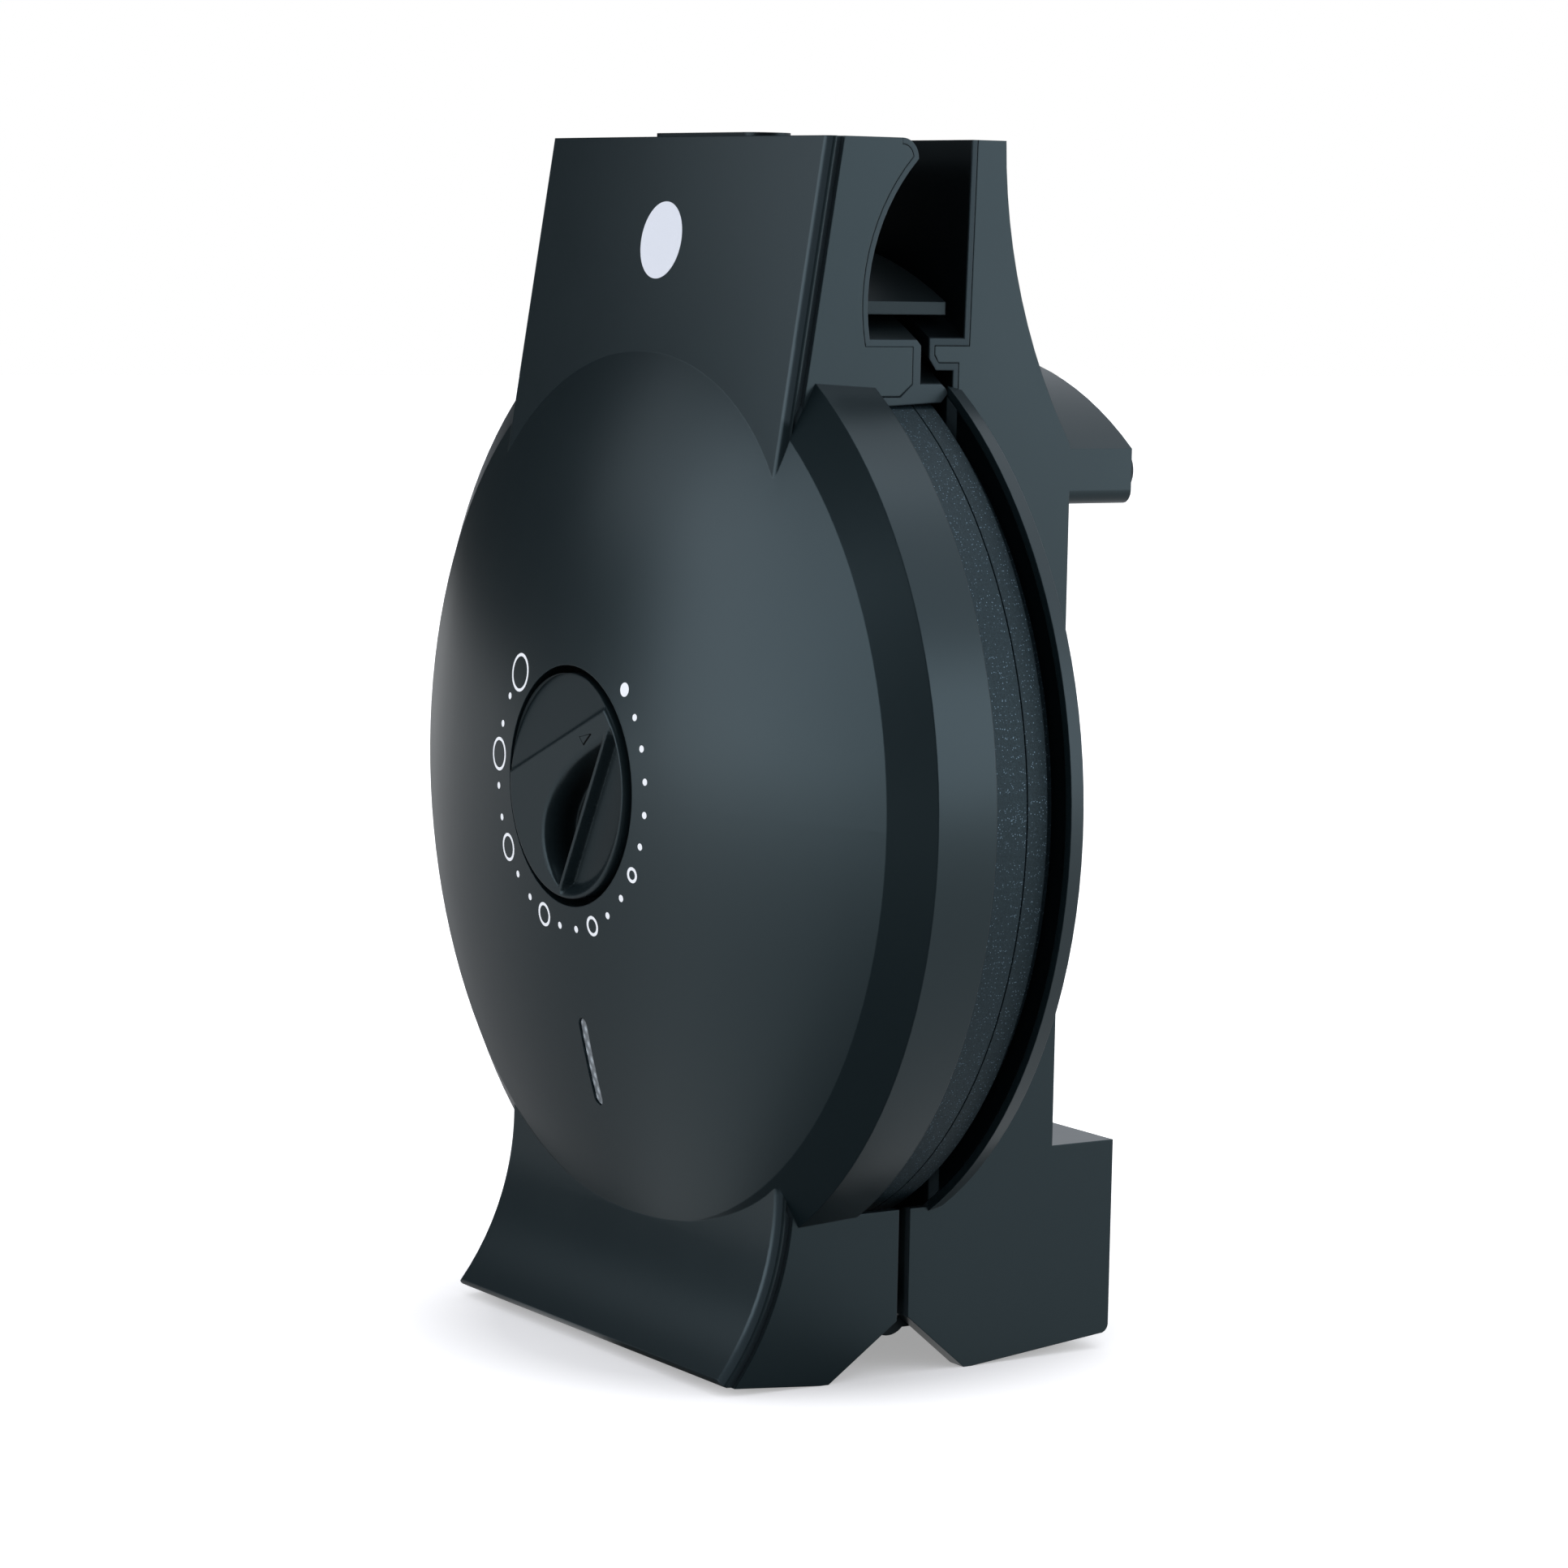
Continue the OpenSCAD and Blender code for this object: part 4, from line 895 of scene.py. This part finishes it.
@dataclass(frozen=True)
class Mark:
    """One round mark: a dot where it has no stroke, or a ring."""

    radius: float
    stroke: float = 0.0

    def build(self, x: float, z: float) -> Object:
        """Models the mark as a thin plate.

        Args:
            x: its centre across, in millimetres.
            z: its centre's height, in millimetres.

        Returns:
            The mark, facing the front.
        """
        piece = flat_plate(36, self.radius, x, z)
        bpy.ops.mesh.inset(thickness=(self.stroke or self.radius / 2) * MM)
        if self.stroke:
            bpy.ops.mesh.delete(type="FACE")
        thicken(-PRINT_STEP)
        return piece


@dataclass
class DialScale:
    """The printed scale round the knob: a start dot, small dots, and rings that grow."""

    centre_x: float = -0.9
    centre_z: float = 122.85
    radius: float = 31.3
    start: float = 45.0
    step: float = 12.83
    dot: Mark = Mark(0.75)
    start_dot: Mark = Mark(1.5)
    ring_radii: tuple[float, ...] = (1.7, 2.2, 2.65, 3.1, 3.7, 4.2)
    ring_stroke: float = 0.68
    first_ring: int = 6
    ring_every: int = 3

    def marks(self) -> list[Mark]:
        """Lists the marks in their order, clockwise from the start.

        Returns:
            The marks.
        """
        order = [self.start_dot] + [self.dot] * (self.first_ring - 1)
        for place, radius in enumerate(self.ring_radii):
            order.append(Mark(radius, self.ring_stroke))
            if place < len(self.ring_radii) - 1:
                order += [self.dot] * (self.ring_every - 1)
        return order

    def build(self, finishes: FinishSet) -> None:
        """Prints the scale on the dome.

        Args:
            finishes: the finishes.
        """
        pieces = []
        for place, mark in enumerate(self.marks()):
            turn = math.radians(self.start + place * self.step)
            x = self.centre_x + self.radius * math.sin(turn)
            pieces.append(mark.build(x, self.centre_z + self.radius * math.cos(turn)))
        scale = settle(joined(pieces), "dial_scale_print")
        Print("lid_shell", lift=0.03).lay(scale)
        scale.data.materials.append(finishes.made["scale_ink"])
        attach(scale, Body.LID.value)
        log.info("dial scale of %d marks", len(pieces))


@dataclass
class HandleBadge:
    """A plain round enamelled badge on the lid's handle, without any lettering."""

    centre_z: float = 238.8
    radius: float = 8.2
    ring_shares: tuple[float, ...] = (0.05, 0.25, 0.3, 0.3)

    def build(self, finishes: FinishSet) -> None:
        """Sets the badge on the handle's face.

        Args:
            finishes: the finishes.
        """
        badge = flat_plate(72, self.radius, 0.0, self.centre_z)
        for share in self.ring_shares:
            bpy.ops.mesh.inset(thickness=self.radius * MM * share)
        thicken(-PRINT_STEP)
        badge = settle(badge, "handle_badge")
        Print("lid_shell", lift=0.06).lay(badge)
        badge.data.materials.append(finishes.made["badge_enamel"])
        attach(badge, Body.LID.value)
        log.info("handle badge")


@dataclass
class KnobBody:
    """The knob's moulding with soft edges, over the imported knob's own outline.

    Places on its face are across and up from the dial's axis, and depths run backwards from the
    face. Along and beside are measured from the thin rib that parts the pocket from the dish. A
    pair of numbers named wall, lip or ramp is where a soft step starts and ends. The pocket's
    bow is its reach along the rib and the power that shapes its curve, to either side of its
    widest place.
    """

    centre_z: float = AXIS_Z
    face_y: float = -54.825
    back_y: float = -43.225
    radius: float = 24.2
    rim: float = 0.9
    bore: float = 3.04
    bore_depth: float = 4.0
    rib_angle: float = 62.4
    rib_from: float = 8.5
    rib_to: float = 9.4
    rib_slack: float = 0.02
    ledge_angle: float = 23.5
    ledge_off: float = 10.06
    ledge_ramp: Span = (-0.1, 0.6)
    ledge_drop: float = 0.5
    ledge_slope: float = 0.1
    pocket_depth: float = 6.6
    pocket_at: float = -8.0
    pocket_width: float = 13.4
    pocket_low_bow: Span = (12.0, 0.45)
    pocket_high_bow: Span = (27.1, 1.25)
    pocket_wall: Span = (-0.2, 2.2)
    pocket_rib_wall: Span = (0.0, 0.32)
    pocket_lip: Span = (23.0, 23.9)
    shoulder_depth: float = 0.25
    shoulder_ramp: Span = (-1.3, 0.3)
    steepest: float = 3.0
    dish_depth: float = 2.6
    dish_at: float = 4.0
    dish_half: float = 11.6
    dish_wall: Span = (0.0, 0.7)
    dish_lip: Span = (20.6, 23.9)
    snap_reach: float = 0.16
    snap_clear: float = 0.3
    stroke_clear: float = 0.02
    wall_step: float = 0.3
    bevel: float = 0.2
    smooth_angle: float = 38.0
    segments: int = 384
    face_rings: int = 92

    @staticmethod
    def _ease(value: float, low: float, high: float) -> float:
        """Rises smoothly from 0 at low to 1 at high."""
        share = min(max((value - low) / (high - low), 0.0), 1.0)
        return share * share * (3.0 - 2.0 * share)

    def _pocket_edge(self, along: float) -> float:
        """Gives how far beside the axis the pocket's round edge lies at a place along the rib."""
        high = along > self.pocket_at
        reach, power = self.pocket_high_bow if high else self.pocket_low_bow
        left = max(1.0 - ((along - self.pocket_at) / reach) ** 2, 0.0)
        return self.rib_to - self.pocket_width * left**power

    def _rib_frame(self, x: float, z: float) -> tuple[float, float]:
        """Turns a place on the face into along and beside the rib."""
        turn = math.radians(self.rib_angle)
        c, s = math.cos(turn), math.sin(turn)
        return c * x + s * z, s * x - c * z

    def _pocket(self, along: float, beside: float, out: float) -> float:
        """Gives the pocket's depth below the face.

        Args:
            along: place along the rib.
            beside: place beside the axis, across the rib.
            out: distance from the axis.

        Returns:
            The depth.
        """
        step = 0.25
        after, before = self._pocket_edge(along + step), self._pocket_edge(along - step)
        slope = min(max((after - before) / (2 * step), -self.steepest), self.steepest)
        inside = (beside - self._pocket_edge(along)) / math.hypot(1.0, slope)
        shoulder = self.shoulder_depth * self._ease(inside, *self.shoulder_ramp)
        hollow = shoulder + self.pocket_depth * self._ease(inside, *self.pocket_wall)
        wall = self._ease(self.rib_from - beside, *self.pocket_rib_wall)
        return hollow * wall * (1.0 - self._ease(out, *self.pocket_lip))

    def _dish(self, beside: float, out: float) -> float:
        """Gives the dish's depth below the face, at a place beside the axis."""
        off = beside - self.rib_to
        bowl = self.dish_depth * (1.0 - ((off - self.dish_at) / self.dish_half) ** 2)
        lip = self._ease(out, *self.dish_lip)
        return max(bowl, 0.0) * self._ease(off, *self.dish_wall) * (1.0 - lip)

    def depth(self, x: float, z: float) -> float:
        """Gives the depth of the face behind its front plane.

        Args:
            x: across from the axis.
            z: up from the axis.

        Returns:
            The depth.
        """
        out = math.hypot(x, z)
        along, beside = self._rib_frame(x, z)
        turn = math.radians(self.ledge_angle)
        over = math.cos(turn) * z - math.sin(turn) * x - self.ledge_off
        step_back = self._ease(over, *self.ledge_ramp)
        sloped = self.ledge_drop + self.ledge_slope * max(over, 0.0)
        depth = self.stroke_clear + step_back * sloped
        if beside < self.rib_from + self.rib_slack:
            depth += self._pocket(along, beside, out)
        elif beside > self.rib_to - self.rib_slack:
            depth += self._dish(beside, out)
        edge = self.radius - self.rim
        if out > edge:
            drop = self.rim - math.sqrt(max(self.rim**2 - (out - edge) ** 2, 0.0))
            depth = max(depth, drop)
        return depth

    def _snapped(self, x: float, z: float) -> tuple[float, float]:
        """Moves a near point onto one of the rib's straight edges, which keeps them crisp."""
        turn = math.radians(self.rib_angle)
        _, beside = self._rib_frame(x, z)
        for line in (self.rib_from, self.rib_to):
            gap = line - beside
            if abs(gap) < self.snap_reach:
                return x + gap * math.sin(turn), z - gap * math.cos(turn)
        return x, z

    def _rings(self) -> list[tuple[float, float | None]]:
        """Lists the rings from the face's centre to the middle of the bore's end.

        Returns:
            Radius of each ring, and its depth where the face doesn't give it.
        """
        edge = self.radius - self.rim
        face = [(edge * i / self.face_rings, None) for i in range(self.face_rings + 1)]
        turns = (math.radians(a) for a in (15, 30, 45, 60, 75))
        rim = [(edge + self.rim * math.sin(turn), None) for turn in turns]
        deep = self.back_y - self.face_y
        rows = (self.rim, self.rim + self.wall_step, deep - self.wall_step)
        wall = [(self.radius, d) for d in rows]
        back = [(self.radius - self.bevel, deep), (0.5 * self.radius, deep), (self.bore, deep)]
        end = deep - self.bore_depth
        bore = [(self.bore, end + self.bevel), (self.bore - self.bevel, end), (0.0, end)]
        return face + rim + wall + back + bore

    def build(self, finishes: FinishSet) -> None:
        """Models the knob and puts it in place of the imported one's look.

        Args:
            finishes: the finishes.
        """
        rings = self._rings()
        deselect()
        bpy.ops.mesh.primitive_uv_sphere_add(
            segments=self.segments, ring_count=len(rings) - 1, radius=1.0, location=(0.0, 0.0, 0.0)
        )
        knob = bpy.context.object
        for v in knob.data.vertices:
            polar = math.acos(max(-1.0, min(1.0, v.co.z)))
            radius, depth = rings[round(polar / math.pi * (len(rings) - 1))]
            turn = math.atan2(v.co.y, v.co.x)
            x, z = radius * math.cos(turn), radius * math.sin(turn)
            if depth is None:
                if radius < self.radius - self.rim - self.snap_clear:
                    x, z = self._snapped(x, z)
                depth = self.depth(x, z)
            v.co = (x * MM, (self.face_y + depth) * MM, (self.centre_z + z) * MM)
        bpy.ops.object.mode_set(mode="EDIT")
        close_edit()
        bpy.ops.object.shade_smooth_by_angle(angle=math.radians(self.smooth_angle))
        knob = settle(knob, "dial_knob_body")
        knob.data.materials.append(finishes.made["knob_soft_touch"])
        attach(knob, Body.DIAL.value)
        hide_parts("dial_knob")
        log.info("knob body of %d faces", len(knob.data.polygons))


@dataclass
class KnobPointer:
    """The small triangle sunk into the knob's ridge, which points to the scale, drawn as a thin
    near-black plate: painted shade for its sunk lines' floor and walls.

    Its corners are across and up from the dial's axis, clockwise as seen from the front. The wall
    between the first two corners is the steep one, and its painted shade shows as the wide line.
    """

    corners: tuple[tuple[float, float], ...] = ((10.96, 12.28), (7.72, 9.47), (5.72, 11.25))
    stroke: float = 0.12
    wall: float = 0.34
    sink: float = 0.06
    clear_share: float = 0.25

    def build(self, finishes: FinishSet, knob: KnobBody) -> None:
        """Lays the thin near-black plate on the ridge, painted shade for the sunk lines' floor and
        walls.

        Args:
            finishes: the finishes.
            knob: the knob that carries the pointer.
        """
        pointer = flat_plate(len(self.corners), 1.0, 0.0, 0.0)
        bpy.ops.object.mode_set(mode="OBJECT")
        bpy.ops.object.transform_apply(location=True, rotation=True, scale=True)
        level = (knob.face_y + self.clear_share * knob.stroke_clear) * MM
        for v, (x, z) in zip(pointer.data.vertices, self.corners):
            v.co = (x * MM, level, (knob.centre_z + z) * MM)
        bpy.ops.object.mode_set(mode="EDIT")
        bpy.ops.mesh.select_all(action="SELECT")
        bpy.ops.mesh.inset(thickness=self.stroke * MM)
        bpy.ops.mesh.delete(type="ONLY_FACE")
        bpy.ops.object.mode_set(mode="OBJECT")
        (x0, z0), (x1, z1) = self.corners[:2]
        reach = math.hypot(x1 - x0, z1 - z0)
        inward = ((z1 - z0) / reach, (x0 - x1) / reach)
        inner = list(pointer.data.vertices)[len(self.corners) :]
        inner.sort(key=lambda v: inward[0] * v.co.x + inward[1] * v.co.z)
        for v in inner[:2]:
            v.co.x += inward[0] * self.wall * MM
            v.co.z += inward[1] * self.wall * MM
        bpy.ops.object.mode_set(mode="EDIT")
        thicken(self.sink)
        pointer = settle(pointer, "knob_pointer_mark")
        pointer.data.materials.append(finishes.made["pointer_shade"])
        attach(pointer, Body.DIAL.value)
        log.info("knob pointer")


# Sub-assemblies


@dataclass
class Lid:
    """The lid with its upper plate, lamp and printed marks."""

    scale: DialScale = field(default_factory=DialScale)
    badge: HandleBadge = field(default_factory=HandleBadge)
    finishes_of: dict[str, str] = field(
        default_factory=lambda: {
            "lid_shell": "shell_soft_touch",
            "lid_frame": "guard_soft_touch",
            "handle_end_pad": "gland_plastic",
            "lid_screws": "screw_zinc",
            "upper_plate": "upper_coating",
            "upper_plate_screws": "screw_zinc",
            "upper_element": "heater_tube",
            "upper_heat_shield": "shield_sheet",
            "thermostat": "steatite",
            "thermostat_bracket": "screw_zinc",
            "indicator_lens": "lens_frosted",
            "indicator_lamp": "lamp_glass",
            "lamp_holder": "terminal_nylon",
            "lid_wiring": "silicone_sleeve",
        }
    )

    def build(self, finishes: FinishSet) -> None:
        """Dresses the lid and adds its prints."""
        finishes.dress(self.finishes_of)
        self.scale.build(finishes)
        self.badge.build(finishes)


@dataclass
class Dial:
    """The knob with its shaft and clip."""

    knob: KnobBody = field(default_factory=KnobBody)
    pointer: KnobPointer = field(default_factory=KnobPointer)
    finishes_of: dict[str, str] = field(
        default_factory=lambda: {
            "dial_knob": "knob_soft_touch",
            "dial_shaft": "pin_steel",
            "knob_clip": "screw_zinc",
        }
    )

    def build(self, finishes: FinishSet) -> None:
        """Dresses the dial and adds its soft knob and pointer."""
        finishes.dress(self.finishes_of)
        self.knob.build(finishes)
        self.pointer.build(finishes, self.knob)


@dataclass
class Base:
    """The base with its lower plate, pads, hinge pins and gland."""

    finishes_of: dict[str, str] = field(
        default_factory=lambda: {
            "base_shell": "shell_soft_touch",
            "base_frame": "frame_soft_touch",
            "base_screws": "screw_zinc",
            "lower_plate": "lower_coating",
            "lower_plate_screws": "screw_zinc",
            "lower_element": "heater_tube",
            "lower_heat_shield": "shield_sheet",
            "hinge_pins": "pin_steel",
            "front_foot_pads": "pad_rubber",
            "rear_foot_pads": "pad_rubber",
            "cord_gland": "gland_plastic",
            "terminal_block": "terminal_nylon",
            "base_wiring": "silicone_sleeve",
        }
    )

    def build(self, finishes: FinishSet) -> None:
        """Dresses the base."""
        finishes.dress(self.finishes_of)


# Studio


@dataclass(frozen=True)
class PhotoCamera:
    """The camera of the photograph, found from the iron's coaxial circles."""

    place: Place = (888.194, -572.227, 240.886)
    yaw: float = 57.164
    pitch: float = 6.504
    roll: float = 1.135
    focal_pixels: float = 5958.783
    image_pixels: float = 1932.0
    sensor: float = 36.0

    def build(self) -> None:
        """Makes the camera and sets it as the scene's."""
        yaw, pitch, roll = (math.radians(a) for a in (self.yaw, self.pitch, self.roll))
        flat = math.cos(pitch)
        forward = Vector((-math.sin(yaw) * flat, math.cos(yaw) * flat, -math.sin(pitch)))
        level = Vector((math.cos(yaw), math.sin(yaw), 0.0))
        upright = level.cross(forward)
        right = level * math.cos(roll) + upright * math.sin(roll)
        up = -level * math.sin(roll) + upright * math.cos(roll)
        lens = bpy.data.cameras.new("photo_camera")
        lens.sensor_width = self.sensor
        lens.lens = self.sensor * self.focal_pixels / self.image_pixels
        lens.clip_start = 0.01
        camera = bpy.data.objects.new("photo_camera", lens)
        bpy.context.scene.collection.objects.link(camera)
        turn = Matrix((right, up, -forward)).transposed().to_4x4()
        turn.translation = Vector(self.place) * MM
        camera.matrix_world = turn
        bpy.context.scene.camera = camera


@dataclass(frozen=True)
class SoftBox:
    """One large soft lamp that looks at the iron's middle."""

    name: str
    place: Place
    size: tuple[float, float]
    level: float
    aim: Place = (0.0, 0.0, 0.12)

    def build(self) -> None:
        """Makes the lamp."""
        lamp = bpy.data.lights.new(self.name, "AREA")
        lamp.shape = "RECTANGLE"
        lamp.size, lamp.size_y = self.size
        lamp.energy = self.level * math.pi * self.size[0] * self.size[1]
        lamp.color = Tint.DAYLIGHT.value
        holder = bpy.data.objects.new(self.name, lamp)
        bpy.context.scene.collection.objects.link(holder)
        turn = (Vector(self.aim) - Vector(self.place)).to_track_quat("-Z", "Y")
        holder.matrix_world = Matrix.Translation(Vector(self.place)) @ turn.to_matrix().to_4x4()


@dataclass(frozen=True)
class DimSide:
    """A side of the floor that is dim in gloss.

    It dims from one cosine to another, measured from the side's direction, down to a least share.
    """

    side: Place
    dims_from: float
    dims_to: float
    least: float


@dataclass
class Studio:
    """A pale floor, a white surround and soft boxes.

    The numbers named fade map a place or a direction to a level, and stay at their ends: where the
    fade starts and ends, and the levels there.
    """

    camera: PhotoCamera = field(default_factory=PhotoCamera)
    boxes: tuple[SoftBox, ...] = (
        SoftBox("front_left_box", (-0.56, -1.46, 0.43), (1.2, 0.85), 2.15),
        SoftBox("high_left_box", (-1.2, -1.05, 0.68), (0.6, 0.4), 0.9),
        SoftBox("back_right_box", (1.17, 1.09, 0.45), (0.75, 0.8), 1.6),
        SoftBox("top_box", (0.35, 0.35, 1.7), (1.2, 1.2), 1.0),
    )
    floor_half: float = 6.0
    mirrored_paper: float = 0.45
    ambient: float = 0.8
    dim_sides: tuple[DimSide, ...] = (
        DimSide((0.766, -0.643, 0.0), 0.6, 0.8, 0.1),
        DimSide((-0.94, -0.34, 0.0), 0.75, 0.95, 0.4),
    )
    mirrored_fade: tuple[float, ...] = (0.3, 1.6, 0.38, 0.9)
    glow_fade: tuple[float, ...] = (0.06, 0.11, 0.34, 0.85)
    front_fade: tuple[float, ...] = (0.24, 0.44, 0.02, 1.0)
    left_fade: tuple[float, ...] = (-0.3, 0.3, 0.8, 1.1)

    def _floor(self) -> None:
        """Lays the floor, which turns to white away from the iron.

        In gloss it is dim where the camera stands and in front on the left, and white elsewhere.
        """
        deselect()
        bpy.ops.mesh.primitive_plane_add(size=2 * self.floor_half, location=(0.0, 0.0, 0.0))
        floor = bpy.context.object
        floor.name = "studio_floor"
        material, w, shader = fresh_material("floor_paper")
        place = w.place()
        fibre = w.noise(place, 60.0, 4.0)
        shade = w.blend(fibre, opaque(Tint.FLOOR.value, 0.99), opaque(Tint.FLOOR.value, 1.01))
        w.feed_named(shader, Roughness=0.9, Specular_IOR_Level=0.1)
        path = w.add("LightPath").outputs
        away = w.add("VectorMath", {0: place}, operation="LENGTH").outputs["Value"]
        way = w.add("VectorMath", {0: place}, operation="NORMALIZE").outputs[0]
        shades = []
        for dim in self.dim_sides:
            along = w.cosine(way, dim.side)
            shades.append(w.spread(along, dim.dims_from, dim.dims_to, 1.0, dim.least))
        lit = w.times(*shades)
        mirrored = w.math("MAXIMUM", path["Is Glossy Ray"], path["Is Transmission Ray"])
        kept = w.math("SUBTRACT", 1.0, w.times(lit, self.mirrored_paper))
        dimmed = w.times(mirrored, kept)
        w.feed(shader, {"Base Color": w.blend(dimmed, shade, BLACK)})
        far = w.times(w.times(mirrored, lit), w.spread(away, *self.mirrored_fade))
        near = w.times(path["Is Camera Ray"], w.spread(away, *self.glow_fade))
        glow = w.add("Emission", {"Color": WHITE, "Strength": w.math("ADD", near, far)})
        both = w.add("AddShader", {0: shader.outputs[0], 1: glow.outputs[0]})
        out = next(n for n in w.tree.nodes if n.type == "OUTPUT_MATERIAL")
        w.feed(out, {"Surface": both.outputs[0]})
        floor.data.materials.append(material)

    def _surround(self) -> None:
        """Sets the world: white where it is seen, and a soft ambient light.

        In gloss it is white behind the iron and dim in front of it, where the camera stands.
        """
        world = bpy.data.worlds.new("white_surround")
        world.use_nodes = True
        world.node_tree.nodes.clear()
        w = Wiring(world.node_tree)
        path = w.add("LightPath").outputs
        way = w.add("SeparateXYZ", {0: w.add("TexCoord").outputs["Generated"]}).outputs
        behind = w.times(w.spread(way["Y"], *self.front_fade), w.spread(way["X"], *self.left_fade))
        white = w.math("MAXIMUM", path["Is Camera Ray"], path["Is Transmission Ray"])
        gloss = w.times(path["Is Glossy Ray"], behind)
        other = w.math("SUBTRACT", 1.0, w.math("MAXIMUM", white, path["Is Glossy Ray"]))
        strength = w.math("ADD", w.math("MAXIMUM", white, gloss), w.times(other, self.ambient))
        colour = w.blend(white, opaque(Tint.DAYLIGHT.value), WHITE)
        light = w.add("Background", {"Color": colour, "Strength": strength})
        w.add("OutputWorld", {"Surface": light.outputs[0]})
        bpy.context.scene.world = world

    def build(self) -> None:
        """Builds the studio."""
        self.camera.build()
        self._surround()
        self._floor()
        for box in self.boxes:
            box.build()
        bpy.context.scene.view_settings.view_transform = "Standard"


def main() -> None:
    """Builds and dresses the iron in its studio."""
    logging.basicConfig(level=logging.INFO, format="%(name)s: %(message)s")
    Studio().build()
    finishes = FinishSet(Effects())
    finishes.build()
    Base().build(finishes)
    Lid().build(finishes)
    Dial().build(finishes)


if __name__ == "__main__":
    main()
